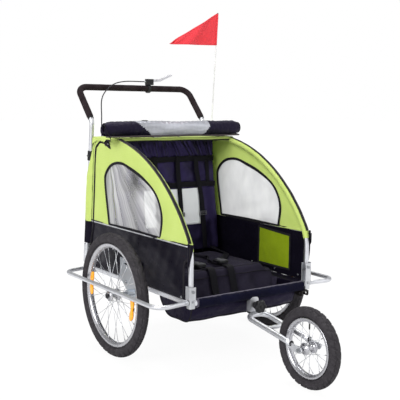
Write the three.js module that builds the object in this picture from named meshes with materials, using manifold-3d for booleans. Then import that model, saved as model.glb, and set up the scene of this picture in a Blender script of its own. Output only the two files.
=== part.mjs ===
// Double child bicycle trailer with its jogger wheel and push handle fitted.
// Millimetres. +Z is up, the front wheel is towards -Y, and "right" is the -X side,
// which is the right hand of a child sitting in it.
// Lengths along Y are counted from the rear axle until the last lines centre the whole trailer.

import * as THREE from 'three';
import Module from 'manifold-3d';
import { mergeVertices } from 'three/addons/utils/BufferGeometryUtils.js';

const wasm = await Module();
wasm.setup();

// ---------------------------------------------------------------- driving dimensions

const GAP = 0.4; // clearance between pieces that rest on each other
const SKIN = 3; // thickness that stands for sewn fabric

const REAR_WHEEL = {
  radius: 250, halfWidth: 23.5, rimRadius: 207, rimInner: 190, rimHalf: 13,
  spokes: 28, flange: 21, flangeOffset: 18, barrel: 13, bore: 7, hubHalf: 24, sides: 32,
};
const FRONT_WHEEL = {
  radius: 150, halfWidth: 22.5, rimRadius: 109, rimInner: 95, rimHalf: 12,
  spokes: 20, flange: 19, flangeOffset: 20, barrel: 11, bore: 5.6, hubHalf: 32, sides: 24,
};
const TRACK_X = 400; // rear wheel centre plane
const FRONT_AXLE_Y = -710;

const FRAME = { x: 288, z: 281, front: -381, rear: 383, bar: 11, rail: 20 };
const CORNER = { length: 24, bottom: 262, top: 296 };
const HINGE_Z = { right: 327, left: 355 }; // stacked, so that both sides lie flat when folded
const CHANNEL = { inner: 272, outer: 305.3, wall: 3, halfGap: 12.5, above: 14 };
const PIN_RADIUS = 3;
const AXLE_HOLLOW = 30; // depth of the rear axles' hollow outer ends
const BUTTON_TRAVEL = 4;

const ARCH = {
  tube: 10, frontY: -380.4, postTop: 440, shoulder: 156.2, shoulderEnd: 58.1,
  sweep: 718, sweepEnd: 13.3, run: 50, crown: 150, rearTopY: 345, rearCorner: 55, rearFootY: 384.6,
};
const FABRIC_X = 299; // inner face of the side fabric
const FABRIC_PROUD = 8; // how far the fabric edge stands outside the arch centreline
const BELT_Z = 495; // seam between upper and lower side fabric
const CROSSBAR_Y = -170; // bar under the front edge of the seat
const LIFT_OFF = 22; // side fabric starts this far above its hinge

const HANDLE = {
  x: 298, tube: 10.6, footZ: 318, lean: 0.093, bendY: 374.6, bendZ: 936.6, topY: 512, topZ: 1086,
  bend: 45, braceZ: 840, brace: 7.5,
};
const SOCKET = { foot: 302, top: 385, outer: 15.5, bore: 11.6, lugLow: 303, lugHigh: 317, lugHalf: 8 };
const GRIP = { outer: 14.5, inner: 11.9, startY: 388, startZ: 951 };
const LEVER = { x: 73, pivotX: 87, pivotZ: 1123, y: 505, tipX: 203, tipZ: 1155 };

const GUARD = { x: 443, z: 286, tube: 8.5, frontY: -400, rearY: 350, bend: 50, endGap: 3 };
const ARM = {
  x: 45, tube: 10.5, crownY: -406, crownZ: 203, endY: -664, endZ: 163, bend: 36,
  braceY: -529, brace: 8, tabInner: 44, tabOuter: 49,
};
const BRACKET = { half: 19.5, inner: 16.5, web: 5, top: 272, shoulder: 262, rear: -378 };
const KNOB = {
  y: -403, z: 241, radius: 26.5, lobes: 6, head: 20,
  boss: 22, bossRadius: 13, bolt: 4, boltEnd: 16,
};
const RECEIVER = { front: -396, back: -391, half: 15, bottom: 216 };
const AXLE_PLATE = {
  inner: 307, outer: 310, sleeveEnd: 342, sleeve: 13, bore: 6.6, slotZ: 352, slotTop: 359,
};
const AXLE = { inner: 304, radius: 5.9, hollow: 4.6, stem: 3.9, cap: 11.5 };
const TOW = {
  x0: 252, x1: 288, y0: -400, y1: -350, z0: 238, wall: 4, holeY: -386, holeZ: 248, hole: 4.5,
};
const REFLECTOR = { inner: 158, outer: 176, low: 9, high: 14, span: 17, front: 187, rear: 7 };

const PAD = { half: 20, length: 267 };
const PAD_BOTTOM = FRAME.z - PAD.half;
const FLOOR_Z = 291.5;
const FLOOR = { front: FRAME.front + PAD.half + 0.4, rear: FRAME.rear - 20 };
const WELL = { right: -275, left: 240, front: -374, toeY: -352, heelY: -190, rear: -135, bottom: 198 };
const HARNESS = { centre: 121, shoulder: 61, strap: 25, thick: 3, lapHalf: 95, lapHigh: 46 };
const SEAT = { half: 262, frontY: -208, backY: 184, bottom: 297, top: 350, thick: 20 };
const SEAT_BACK = { footY: 186, footZ: 353, headY: 246, headZ: 850 };
const ROOF = { half: 300, frontY: 138, rearY: 362, z: 868 };
const ROLL = { centreX: -25, halfLength: 345, y: 135, z: 907.5, radius: 34 };
const POLE = { x: 312, radius: 2.5, footY: 367, footZ: 275, lean: 0.093, topZ: 1437 };
const FLAG = { bottomZ: 1291, reach: 240 };

// ---------------------------------------------------------------- materials

const finish = (color, roughness, metalness) =>
  new THREE.MeshStandardMaterial({ color, roughness, metalness });
const silver = () => finish(0xc4c7ca, 0.35, 0.9);
const steel = () => finish(0x9a9da0, 0.4, 0.9);
const blackSteel = () => finish(0x1c1c1e, 0.5, 0.6);
const rubber = () => finish(0x1b1a1c, 0.85, 0);
const foam = () => finish(0x332b30, 0.95, 0);
const plastic = () => finish(0x151518, 0.5, 0);
const green = () => finish(0xc9e070, 0.8, 0);
const black = () => finish(0x1d1926, 0.85, 0);
const coated = () => finish(0x35333c, 0.6, 0);
const vinyl = () => finish(0xdfe4e8, 0.1, 0);
const amber = () => finish(0xf59a10, 0.3, 0);
const red = () => finish(0xe8333a, 0.7, 0);

// ---------------------------------------------------------------- geometry helpers

function positionsOnly(geometry) {
  const bare = geometry.clone();
  bare.deleteAttribute('normal');
  bare.deleteAttribute('uv');
  return mergeVertices(bare, 1e-3);
}

function signedVolume(geometry) {
  const position = geometry.attributes.position;
  const index = geometry.index.array;
  const [a, b, c] = [new THREE.Vector3(), new THREE.Vector3(), new THREE.Vector3()];
  let volume = 0;
  for (let i = 0; i < index.length; i += 3) {
    a.fromBufferAttribute(position, index[i]);
    b.fromBufferAttribute(position, index[i + 1]);
    c.fromBufferAttribute(position, index[i + 2]);
    volume += a.dot(b.cross(c)) / 6;
  }
  return volume;
}

// Merged vertices and outward faces, whatever way the source profile ran.
function outward(geometry) {
  const merged = positionsOnly(geometry);
  if (signedVolume(merged) < 0) {
    const index = merged.index.array;
    for (let i = 0; i < index.length; i += 3) {
      [index[i], index[i + 1]] = [index[i + 1], index[i]];
    }
  }
  return merged;
}

function toSolid(geometry) {
  const merged = outward(geometry);
  return new wasm.Manifold(new wasm.Mesh({
    numProp: 3,
    vertProperties: Float32Array.from(merged.attributes.position.array),
    triVerts: Uint32Array.from(merged.index.array),
  }));
}

function toGeometry(solid) {
  const mesh = solid.getMesh();
  const geometry = new THREE.BufferGeometry();
  geometry.setAttribute('position', new THREE.BufferAttribute(Float32Array.from(mesh.vertProperties), 3));
  geometry.setIndex(new THREE.BufferAttribute(Uint32Array.from(mesh.triVerts), 1));
  return geometry;
}

const join = (...pieces) => toGeometry(pieces.map(toSolid).reduce((a, b) => a.add(b)));
const cut = (piece, ...tools) =>
  toGeometry(tools.map(toSolid).reduce((a, b) => a.subtract(b), toSolid(piece)));
const overlap = (a, b) => toGeometry(toSolid(a).intersect(toSolid(b)));

// A box given by its low and high corners.
function block(low, high) {
  const size = high.map((v, k) => v - low[k]);
  const geometry = new THREE.BoxGeometry(...size);
  geometry.translate(...high.map((v, k) => (v + low[k]) / 2));
  return geometry;
}

// A round bar between two points.
function rod(from, to, radius, sides = 8) {
  const [a, b] = [new THREE.Vector3(...from), new THREE.Vector3(...to)];
  const axis = b.clone().sub(a);
  const geometry = new THREE.CylinderGeometry(radius, radius, axis.length(), sides);
  const turn = new THREE.Quaternion().setFromUnitVectors(new THREE.Vector3(0, 1, 0), axis.normalize());
  geometry.applyQuaternion(turn);
  geometry.translate(...a.add(b).multiplyScalar(0.5).toArray());
  return geometry;
}

// A closed outline of [y, z] points, made into a plate between two x planes.
function sidePlate(outline, x0, x1, hole) {
  const shape = new THREE.Shape(outline.map(([y, z]) => new THREE.Vector2(y, z)));
  if (hole) shape.holes.push(new THREE.Path(hole.map(([y, z]) => new THREE.Vector2(y, z))));
  const geometry = new THREE.ExtrudeGeometry(shape, { depth: x1 - x0, bevelEnabled: false });
  geometry.rotateX(Math.PI / 2);
  geometry.rotateZ(Math.PI / 2);
  geometry.translate(x0, 0, 0);
  return geometry;
}

// A closed outline of [x, z] points, made into a plate between two y planes.
function frontPlate(outline, y0, y1) {
  const shape = new THREE.Shape(outline.map(([x, z]) => new THREE.Vector2(x, z)));
  const geometry = new THREE.ExtrudeGeometry(shape, { depth: y1 - y0, bevelEnabled: false });
  geometry.rotateX(Math.PI / 2);
  geometry.translate(0, y1, 0);
  return geometry;
}

// A closed profile of [radius, x] points turned about the X axis.
function turnedAboutX(profile, sides, flatsDown = false) {
  const closed = [...profile, profile[0]].map(([r, x]) => new THREE.Vector2(r, x));
  const geometry = new THREE.LatheGeometry(closed, sides);
  geometry.rotateZ(-Math.PI / 2);
  geometry.rotateX(flatsDown ? Math.PI / sides : 0);
  return geometry;
}

// A path made of exactly the points given, so straight runs cost one step.
class StationPath extends THREE.Curve {
  constructor(points) {
    super();
    this.points = points;
  }

  station(u) {
    return Math.round(u * (this.points.length - 1));
  }

  getPointAt(u) {
    return this.points[this.station(u)].clone();
  }

  getTangentAt(u) {
    const i = this.station(u);
    const here = this.points[i];
    const before = i > 0 ? here.clone().sub(this.points[i - 1]).normalize() : null;
    const after = i < this.points.length - 1 ? this.points[i + 1].clone().sub(here).normalize() : null;
    const tangent = new THREE.Vector3();
    if (before) tangent.add(before);
    if (after) tangent.add(after);
    return tangent.normalize();
  }
}

// Rounds every inner corner of a polyline with a bend of the given radius.
function bent(corners, radius, steps = 4) {
  const points = corners.map((c) => new THREE.Vector3(...c));
  const path = [points[0]];
  for (let i = 1; i < points.length - 1; i += 1) {
    const back = points[i - 1].clone().sub(points[i]).normalize();
    const on = points[i + 1].clone().sub(points[i]).normalize();
    const half = back.angleTo(on) / 2;
    const setback = radius / Math.tan(half);
    const bisector = back.clone().add(on).normalize();
    const centre = points[i].clone().addScaledVector(bisector, radius / Math.sin(half));
    const start = points[i].clone().addScaledVector(back, setback).sub(centre);
    const end = points[i].clone().addScaledVector(on, setback).sub(centre);
    const turn = start.angleTo(end);
    for (let k = 0; k <= steps; k += 1) {
      const t = k / steps;
      const arm = start.clone().multiplyScalar(Math.sin((1 - t) * turn) / Math.sin(turn));
      arm.addScaledVector(end, Math.sin(t * turn) / Math.sin(turn));
      path.push(centre.clone().add(arm));
    }
  }
  path.push(points[points.length - 1]);
  return path;
}

function circle(radius, sides) {
  const around = [...Array(sides).keys()].map((k) => (2 * Math.PI * (k + 0.5)) / sides);
  return around.map((t) => new THREE.Vector2(radius * Math.cos(t), radius * Math.sin(t)));
}

function tube(points, radius, sides = 8, inner = 0) {
  const shape = new THREE.Shape(circle(radius, sides));
  if (inner) shape.holes.push(new THREE.Path(circle(inner, sides)));
  const extrudePath = new StationPath(points);
  return new THREE.ExtrudeGeometry(shape, { steps: points.length - 1, extrudePath, bevelEnabled: false });
}

function part(name, geometry, material, position = [0, 0, 0]) {
  const mesh = new THREE.Mesh(outward(geometry), material);
  mesh.name = name;
  mesh.position.set(...position);
  return mesh;
}

function group(...children) {
  const made = new THREE.Group();
  made.add(...children);
  return made;
}

const SIDES = [
  { side: 'right', s: -1 },
  { side: 'left', s: 1 },
];

// ---------------------------------------------------------------- base frame

function baseFrame() {
  const { x, z, front, rear, bar, rail } = FRAME;
  const half = rail / 2;
  const pieces = [
    rod([-x, front, z], [x, front, z], bar),
    rod([-x, rear, z], [x, rear, z], bar),
    rod([-x, CROSSBAR_Y, z], [x, CROSSBAR_Y, z], bar - 1.5),
    block([-RECEIVER.half, RECEIVER.front, RECEIVER.bottom], [RECEIVER.half, RECEIVER.back, z]),
  ];
  for (const { s } of SIDES) {
    const [low, high] = [s * x - half, s * x + half];
    pieces.push(block([low, front, z - half], [high, rear, z + half]));
    for (const y of [front, rear]) {
      pieces.push(block(
        [s * x - CORNER.length / 2, y - CORNER.length / 2, CORNER.bottom],
        [s * x + CORNER.length / 2, y + CORNER.length / 2, CORNER.top],
      ));
    }
  }
  const boltHole = rod([0, RECEIVER.front - 5, KNOB.z], [0, RECEIVER.back + 5, KNOB.z], KNOB.bolt + GAP);
  return part('base_frame', cut(join(...pieces), boltHole), silver());
}

// U channel, open towards the cabin, that carries the foot of an arch on a cross pin.
function channelSolid(s, y, hingeZ) {
  const bottom = CORNER.top + GAP;
  const top = hingeZ + CHANNEL.above;
  const halfY = CHANNEL.halfGap + CHANNEL.wall;
  const xs = [s * CHANNEL.inner, s * CHANNEL.outer].sort((a, b) => a - b);
  const outer = block([xs[0], y - halfY, bottom], [xs[1], y + halfY, top]);
  const pocketX = [s * (CHANNEL.inner - 5), s * (CHANNEL.outer - CHANNEL.wall)].sort((a, b) => a - b);
  const pocket = block(
    [pocketX[0], y - CHANNEL.halfGap, bottom + CHANNEL.wall],
    [pocketX[1], y + CHANNEL.halfGap, top + 5],
  );
  const hole = rod([s * FRAME.x, y - 30, hingeZ], [s * FRAME.x, y + 30, hingeZ], PIN_RADIUS + 0.3);
  return { body: outer, tools: [pocket, hole] };
}

function frontChannel(side, s) {
  const { body, tools } = channelSolid(s, FRAME.front, HINGE_Z[side]);
  return part(`front_hinge_channel_${side}`, cut(body, ...tools), silver());
}

const handleY = (z) => HANDLE.bendY + HANDLE.lean * (HANDLE.bendZ - z);

// The rear channels also hold a socket that the push handle stands in.
function rearChannel(side, s) {
  const { body, tools } = channelSolid(s, FRAME.rear, HINGE_Z[side]);
  const x = s * HANDLE.x;
  const { foot, top, lugLow, lugHigh, lugHalf } = SOCKET;
  const along = (z0, z1, radius) => rod([x, handleY(z0), z0], [x, handleY(z1), z1], radius, 12);
  const sleeve = along(foot, top, SOCKET.outer);
  const lugFront = FRAME.rear + CHANNEL.halfGap + 0.5;
  const lug = block([x - lugHalf, lugFront, lugLow], [x + lugHalf, handleY(lugLow), lugHigh]);
  const bore = along(HANDLE.footZ - GAP, top + 20, SOCKET.bore);
  return part(`rear_hinge_channel_${side}`, cut(join(body, sleeve, lug), ...tools, bore), silver());
}

// Cross pin with a flat head at each end.
function hingePin(end, side, s, y) {
  const reach = CHANNEL.halfGap + CHANNEL.wall + GAP;
  const shank = rod([0, -reach - 1, 0], [0, reach + 1, 0], PIN_RADIUS);
  const head = PIN_RADIUS * 2;
  const heads = [-1, 1].map((e) => rod([0, e * reach, 0], [0, e * (reach + 3), 0], head));
  const place = [s * FRAME.x, y, HINGE_Z[side]];
  return part(`hinge_pin_${end}_${side}`, join(shank, ...heads), steel(), place);
}

function wheelGuard(side, s) {
  const start = FRAME.x + CORNER.length / 2 + GUARD.endGap;
  const { x, z, frontY, rearY, bend } = GUARD;
  const corners = [[start, FRAME.front, z], [x, frontY, z], [x, rearY, z], [start, FRAME.rear, z]];
  const points = bent(corners.map(([px, y, pz]) => [s * px, y, pz]), bend);
  return part(`wheel_guard_${side}`, tube(points, GUARD.tube), silver());
}

// Steel plate outside the fabric, spaced off the rail, with the sleeve that takes the wheel's axle.
function axlePlate(side, s) {
  const { inner: x0, outer: x1, sleeveEnd, slotZ, slotTop } = AXLE_PLATE;
  const outline = [[108, 378], [-58, 378], [-58, 262], [-26, 226], [26, 226], [108, 292]];
  const axleZ = REAR_WHEEL.radius;
  const spacer = block([FRAME.x + FRAME.rail / 2 + GAP, -40, 273], [x0 + 1, 70, 289]);
  const sleeve = rod([x1 - 1, 0, axleZ], [sleeveEnd, 0, axleZ], AXLE_PLATE.sleeve, 12);
  const bore = rod([x0 - 5, 0, axleZ], [sleeveEnd + 5, 0, axleZ], AXLE_PLATE.bore);
  const slot = (y) => block([x0 - 1, y - 12, slotZ], [x1 + 1, y + 12, slotTop]);
  const plate = join(sidePlate(outline, x0, x1), spacer, sleeve);
  const right = cut(plate, bore, slot(20), slot(62));
  if (s < 0) right.applyMatrix4(new THREE.Matrix4().makeScale(-1, 1, 1));
  return part(`axle_plate_${side}`, right, steel());
}

// Hollow-ended quick-release axle: it stays with the plate while the hub turns on it.
function wheelAxle(side, s) {
  const outer = TRACK_X + REAR_WHEEL.hubHalf - 6;
  const solid = cut(
    rod([AXLE.inner, 0, 0], [outer, 0, 0], AXLE.radius),
    rod([outer - AXLE_HOLLOW, 0, 0], [outer + 5, 0, 0], AXLE.hollow),
  );
  if (s < 0) solid.applyMatrix4(new THREE.Matrix4().makeScale(-1, 1, 1));
  return part(`wheel_axle_${side}`, solid, steel(), [0, 0, REAR_WHEEL.radius]);
}

// Push button whose stem slides in the axle's hollow end.
function releaseButton(side, s) {
  const hubEnd = TRACK_X + REAR_WHEEL.hubHalf;
  const cap = rod([hubEnd + BUTTON_TRAVEL + GAP, 0, 0], [hubEnd + 10, 0, 0], AXLE.cap, 12);
  const stem = rod([hubEnd - AXLE_HOLLOW, 0, 0], [hubEnd + 5, 0, 0], AXLE.stem);
  const solid = join(cap, stem);
  if (s < 0) solid.applyMatrix4(new THREE.Matrix4().makeScale(-1, 1, 1));
  return part(`release_button_${side}`, solid, plastic(), [0, 0, REAR_WHEEL.radius]);
}

// Black steel fork under the front left corner, where the tow bar is pinned.
function towBracket() {
  const { x0, x1, y0, y1, z0, wall, holeY, holeZ } = TOW;
  const top = PAD_BOTTOM - GAP;
  const outline = [[y1, top], [y0, top], [y0, z0 + 5], [y0 + 4, z0], [y0 + 30, z0], [y1, z0 + 8]];
  const body = sidePlate(outline, x0, x1);
  const mouth = block([x0 + wall, y0 - 5, z0 - 5], [x1 - wall, y1 + 5, top - wall]);
  const hole = rod([x0 - 5, holeY, holeZ], [x1 + 5, holeY, holeZ], TOW.hole);
  const strap = block([x0, y1 - 12, top - wall], [FRAME.x + 14, y1, top]);
  return part('tow_bracket', cut(join(body, strap), mouth, hole), blackSteel());
}

// Wrap round the front bar, notched below for the arm receiver.
function frontPad() {
  const { half, length } = PAD;
  const { front: y, z } = FRAME;
  const outer = block([-length, y - half, z - half], [length, y + half, z + half]);
  const bore = rod([-length - 5, y, z], [length + 5, y, z], FRAME.bar + 1.4);
  const notch = block([-RECEIVER.half - 9, y - 40, z - 40], [RECEIVER.half + 9, y + 40, z + 2]);
  return part('front_bar_pad', cut(outer, bore, notch), black());
}

// Fabric tub: floor over the rails, hanging foot well in front, and skirts up to the side fabric.
function cabinTub() {
  const outer = FABRIC_X + SKIN;
  const { front: frontY, rear: rearY } = FLOOR;
  const floor = block([-outer, frontY, FLOOR_Z], [outer, rearY, FLOOR_Z + SKIN]);
  const { front, toeY, heelY, rear, bottom } = WELL;
  const profile = (inset) => [
    [frontY + inset, FLOOR_Z + 1 + inset], [frontY + inset, PAD_BOTTOM - 1],
    [front + inset, PAD_BOTTOM - 8], [toeY + inset, bottom + inset],
    [heelY - inset, bottom + inset], [rear - inset, FLOOR_Z - 30], [rear - inset, FLOOR_Z + 1 + inset],
  ];
  const open = profile(SKIN).map(([y, z]) => [y, z > FLOOR_Z ? z + 20 : z]);
  const shell = sidePlate(profile(0), WELL.right, WELL.left);
  const hollow = sidePlate(open, WELL.right + SKIN, WELL.left - SKIN);
  const skirts = SIDES.map(({ side, s }) => {
    const xs = [s * FABRIC_X, s * outer].sort((a, b) => a - b);
    const top = HINGE_Z[side] + LIFT_OFF - 4;
    return block([xs[0], frontY, FLOOR_Z], [xs[1], rearY, top]);
  });
  const tub = cut(join(floor, shell), hollow);
  const crossbar = rod([-FRAME.x, CROSSBAR_Y, FRAME.z], [FRAME.x, CROSSBAR_Y, FRAME.z], FRAME.bar);
  return part('cabin_tub', join(cut(tub, crossbar), ...skirts), black());
}

// ---------------------------------------------------------------- side frames

// Arch centreline from the front foot, over the roof, to the rear foot: [y, z, heading in degrees].
function archStations(hingeZ) {
  const rad = THREE.MathUtils.degToRad;
  const a = ARCH;
  const foot = hingeZ - 8;
  const stations = [[a.frontY, foot, 90], [a.frontY, a.postTop, 90]];
  const arc = (radius, from, to, steps) => {
    const [y0, z0] = stations[stations.length - 1];
    for (let k = 1; k <= steps; k += 1) {
      const heading = from + ((to - from) * k) / steps;
      const y = y0 + radius * (Math.sin(rad(from)) - Math.sin(rad(heading)));
      const z = z0 + radius * (Math.cos(rad(heading)) - Math.cos(rad(from)));
      stations.push([y, z, heading]);
    }
  };
  arc(a.shoulder, 90, a.shoulderEnd, 3);
  arc(a.sweep, a.shoulderEnd, a.sweepEnd, 7);
  const [endY, endZ] = stations[stations.length - 1];
  const run = [endY + a.run * Math.cos(rad(a.sweepEnd)), endZ + a.run * Math.sin(rad(a.sweepEnd))];
  stations.push([...run, a.sweepEnd]);
  arc(a.crown, a.sweepEnd, 0, 2);
  const roofZ = stations[stations.length - 1][1];
  const down = -90 - THREE.MathUtils.radToDeg(Math.atan2(a.rearTopY - a.rearFootY, roofZ - foot));
  const setback = a.rearCorner * Math.tan(rad(-down / 2));
  stations.push([a.rearTopY - setback, roofZ, 0]);
  arc(a.rearCorner, 0, down, 4);
  stations.push([a.rearFootY, foot, down]);
  return stations;
}

// The same line moved outwards, as [y, z] points.
function archOutline(hingeZ, offset) {
  return archStations(hingeZ).map(([y, z, heading]) => {
    const h = THREE.MathUtils.degToRad(heading);
    return [y - offset * Math.sin(h), z + offset * Math.cos(h)];
  });
}

function archTube(side, s) {
  const hingeZ = HINGE_Z[side];
  const points = archStations(hingeZ).map(([y, z]) => new THREE.Vector3(s * FRAME.x, y, z));
  const x = s * FRAME.x;
  const pinHole = (y) => rod([x, y - 40, hingeZ], [x, y + 40, hingeZ], PIN_RADIUS + 0.4);
  const solid = cut(tube(points, ARCH.tube), pinHole(FRAME.front), pinHole(FRAME.rear));
  return part(`side_arch_${side}`, solid, silver());
}

// Side window: straight sill on the belt seam, and a rounded top that follows the arch.
function windowOutline(inset) {
  const knots = [
    [215, 503], [249, 668], [241, 718], [190, 757], [115, 768],
    [40, 752], [-60, 716], [-150, 664], [-188, 592], [-167, 503],
  ];
  const points = knots.map(([y, z]) => new THREE.Vector3(y, z, 0));
  const curve = new THREE.CatmullRomCurve3(points, false, 'centripetal');
  const [midY, midZ] = [30, 630];
  return curve.getPoints(22).map(({ x: y, y: z }) => {
    const away = Math.hypot(y - midY, z - midZ);
    return [y - (inset * (y - midY)) / away, z - (inset * (z - midZ)) / away];
  });
}

const sidePlanes = (s, a, b) => [s * a, s * b].sort((p, q) => p - q);

function sideFabric(side, s, top) {
  const hingeZ = HINGE_Z[side];
  const [x0, x1] = sidePlanes(s, FABRIC_X, FABRIC_X + SKIN);
  const whole = sidePlate(archOutline(hingeZ, FABRIC_PROUD), x0, x1, top ? windowOutline(0) : undefined);
  const [low, high] = top ? [BELT_Z + GAP, 1000] : [hingeZ + LIFT_OFF, BELT_Z - GAP];
  const band = block([x0 - 5, -500, low], [x1 + 5, 500, high]);
  const name = top ? `side_fabric_upper_${side}` : `side_fabric_lower_${side}`;
  return part(name, overlap(whole, band), top ? green() : coated());
}

function sideWindow(side, s) {
  const [x0, x1] = sidePlanes(s, FABRIC_X + 1, FABRIC_X + 2.2);
  return part(`side_window_${side}`, sidePlate(windowOutline(1), x0, x1), vinyl());
}

function innerPocket() {
  const low = [FABRIC_X - 5, -270, HINGE_Z.left + LIFT_OFF];
  return part('inner_pocket', block(low, [FABRIC_X - GAP, -66, 460]), green());
}

function sideFrame(side, s) {
  const frame = group(
    archTube(side, s),
    sideFabric(side, s, true),
    sideFabric(side, s, false),
    sideWindow(side, s),
  );
  if (side === 'left') frame.add(innerPocket());
  return frame;
}

// ---------------------------------------------------------------- soft goods on the base

function seatPad() {
  const { half, frontY, backY, bottom, top } = SEAT;
  const outline = [
    [backY, bottom], [backY, top], [frontY + 14, top],
    [frontY, top - 14], [frontY, bottom + 8], [frontY + 8, bottom],
  ];
  return part('seat_pad', sidePlate(outline, -half, half), black());
}

const backAt = (z) => {
  const { footY, footZ, headY, headZ } = SEAT_BACK;
  return footY + ((headY - footY) * (z - footZ)) / (headZ - footZ);
};

function seatBack() {
  const { footZ, headZ } = SEAT_BACK;
  const front = [[backAt(footZ), footZ], [backAt(headZ), headZ]];
  const rear = [[backAt(headZ) + SEAT.thick, headZ], [backAt(footZ) + SEAT.thick, footZ]];
  return part('seat_back', sidePlate([...front, ...rear], -SEAT.half, SEAT.half), black());
}

// One child's harness: shoulder straps down the back, a lap strap, and a crotch strap with the buckle.
function harness(side, s) {
  const centre = s * HARNESS.centre;
  const { strap, thick } = HARNESS;
  const top = SEAT.top + GAP;
  const down = (z0, z1, lift) => [
    [backAt(z0) - lift, z0], [backAt(z0) - lift - thick, z0],
    [backAt(z1) - lift - thick, z1], [backAt(z1) - lift, z1],
  ];
  const shoulders = [-1, 1].map((e) => {
    const x = centre + e * HARNESS.shoulder;
    return sidePlate(down(top, 800, 1), x - strap / 2, x + strap / 2);
  });
  const { lapHalf, lapHigh } = HARNESS;
  const lap = sidePlate(down(top, top + lapHigh, 1), centre - lapHalf, centre + lapHalf);
  const crotchEnds = [SEAT.frontY + 20, backAt(top) - 1.5];
  const crotch = block([centre - 20, crotchEnds[0], top], [centre + 20, crotchEnds[1], top + thick]);
  const buckle = block([centre - 28, -20, top], [centre + 28, 34, top + 12]);
  return part(`harness_${side}`, join(...shoulders, lap, crotch, buckle), plastic());
}

function roofPanel() {
  const { half, frontY, rearY, z } = ROOF;
  return part('roof_panel', block([-half, frontY, z], [half, rearY, z + 2.5]), green());
}

// Flat sheet behind the rear uprights, narrower between the hinge channels.
function rearPanel() {
  const [bottom, top, thick] = [300, ROOF.z - 6, 2.5];
  const step = HINGE_Z.left + CHANNEL.above + 4;
  const [wide, narrow] = [ROOF.half - 2, CHANNEL.inner - 5];
  const half = [[narrow, bottom], [narrow, step], [wide, step], [wide, top]];
  const outline = [...half, ...half.map(([x, z]) => [-x, z]).reverse()];
  const lean = (ARCH.rearFootY - ARCH.rearTopY) / (ROOF.z - HINGE_Z.right);
  const footY = ARCH.rearFootY + ARCH.tube + 2 + lean * HINGE_Z.right;
  const geometry = frontPlate(outline, footY, footY + thick);
  geometry.applyMatrix4(new THREE.Matrix4().makeShear(0, 0, 0, 0, 0, -lean));
  return part('rear_panel', geometry, green());
}

// Front cover rolled up and tied on the roof.
function coverRoll() {
  const { centreX, halfLength, y, z, radius } = ROLL;
  const profile = [[0, -halfLength], [radius * 0.7, -halfLength], [radius, -halfLength + 14]];
  const mirrored = profile.map(([r, x]) => [r, -x]).reverse();
  const points = [...profile, ...mirrored].map(([r, x]) => new THREE.Vector2(r, x));
  const geometry = new THREE.LatheGeometry(points, 12);
  geometry.rotateZ(-Math.PI / 2);
  return part('cover_roll', geometry, black(), [centreX, y, z]);
}

function flag() {
  const poleY = (z) => POLE.footY - POLE.lean * (z - POLE.footZ);
  const at = (z) => [POLE.x, poleY(z), z];
  const edge = POLE.x - POLE.radius - GAP;
  const shape = new THREE.Shape([
    new THREE.Vector2(edge, FLAG.bottomZ),
    new THREE.Vector2(edge, POLE.topZ - 3),
    new THREE.Vector2(edge - FLAG.reach, FLAG.bottomZ + 6),
  ]);
  const cloth = new THREE.ExtrudeGeometry(shape, { depth: 1.5, bevelEnabled: false });
  cloth.rotateX(Math.PI / 2);
  const lean = new THREE.Matrix4().makeShear(0, 0, 0, 0, 0, -POLE.lean);
  cloth.applyMatrix4(lean);
  cloth.translate(0, poleY(0), 0);
  const sleeveTop = 400;
  const foot = POLE.footZ - 6;
  const sleeve = rod(at(foot), at(sleeveTop), 6);
  const clamp = block([FRAME.x + FRAME.rail / 2 + GAP, 346, 273], [POLE.x, 363, 289]);
  const bore = rod(at(POLE.footZ - 1), at(sleeveTop + 5), POLE.radius + 0.9);
  return group(
    part('flag_holder', cut(join(sleeve, clamp), bore), plastic()),
    part('flag_pole', rod(at(POLE.footZ), at(POLE.topZ), POLE.radius), vinyl()),
    part('flag', cloth, red()),
  );
}

// ---------------------------------------------------------------- push handle

function handlePoints() {
  const { x, footZ, bendY, bendZ, topY, topZ } = HANDLE;
  const half = [[x, handleY(footZ), footZ], [x, bendY, bendZ], [x, topY, topZ]];
  const corners = [...half.map(([px, y, z]) => [-px, y, z]), ...half.reverse()];
  return bent(corners, HANDLE.bend, 4);
}

function pushHandle() {
  const { x, braceZ } = HANDLE;
  const brace = rod([-x, handleY(braceZ), braceZ], [x, handleY(braceZ), braceZ], HANDLE.brace);
  const start = [GRIP.startY, GRIP.startZ];
  const top = [HANDLE.topY, HANDLE.topZ];
  const gripPath = bent([[-x, ...start], [-x, ...top], [x, ...top], [x, ...start]], HANDLE.bend, 4);
  return group(
    part('handle_tube', join(tube(handlePoints(), HANDLE.tube), brace), silver()),
    part('handle_grip', tube(gripPath, GRIP.outer, 8, GRIP.inner), foam()),
    leverClamp(),
    brakeCable(),
  );
}

// Split-ring clamp round the grip with two cheeks above it that hold the lever.
function leverClamp() {
  const { x, pivotX, pivotZ, y } = LEVER;
  const around = (half, radius) =>
    rod([x - half, HANDLE.topY, HANDLE.topZ], [x + half, HANDLE.topY, HANDLE.topZ], radius, 12);
  const ring = around(8, GRIP.outer + 6.5);
  const bore = around(20, GRIP.outer + 1.2);
  const body = block([x - 16, y - 9, HANDLE.topZ + 17], [pivotX + 8, y + 9, pivotZ + 8]);
  const slot = block([x - 2, y - 5, pivotZ - 12], [pivotX + 20, y + 5, pivotZ + 20]);
  const pivot = rod([pivotX, y - 8, pivotZ], [pivotX, y + 8, pivotZ], 2.5);
  return part('lever_clamp', join(cut(join(ring, body), bore, slot), pivot), plastic());
}

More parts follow.
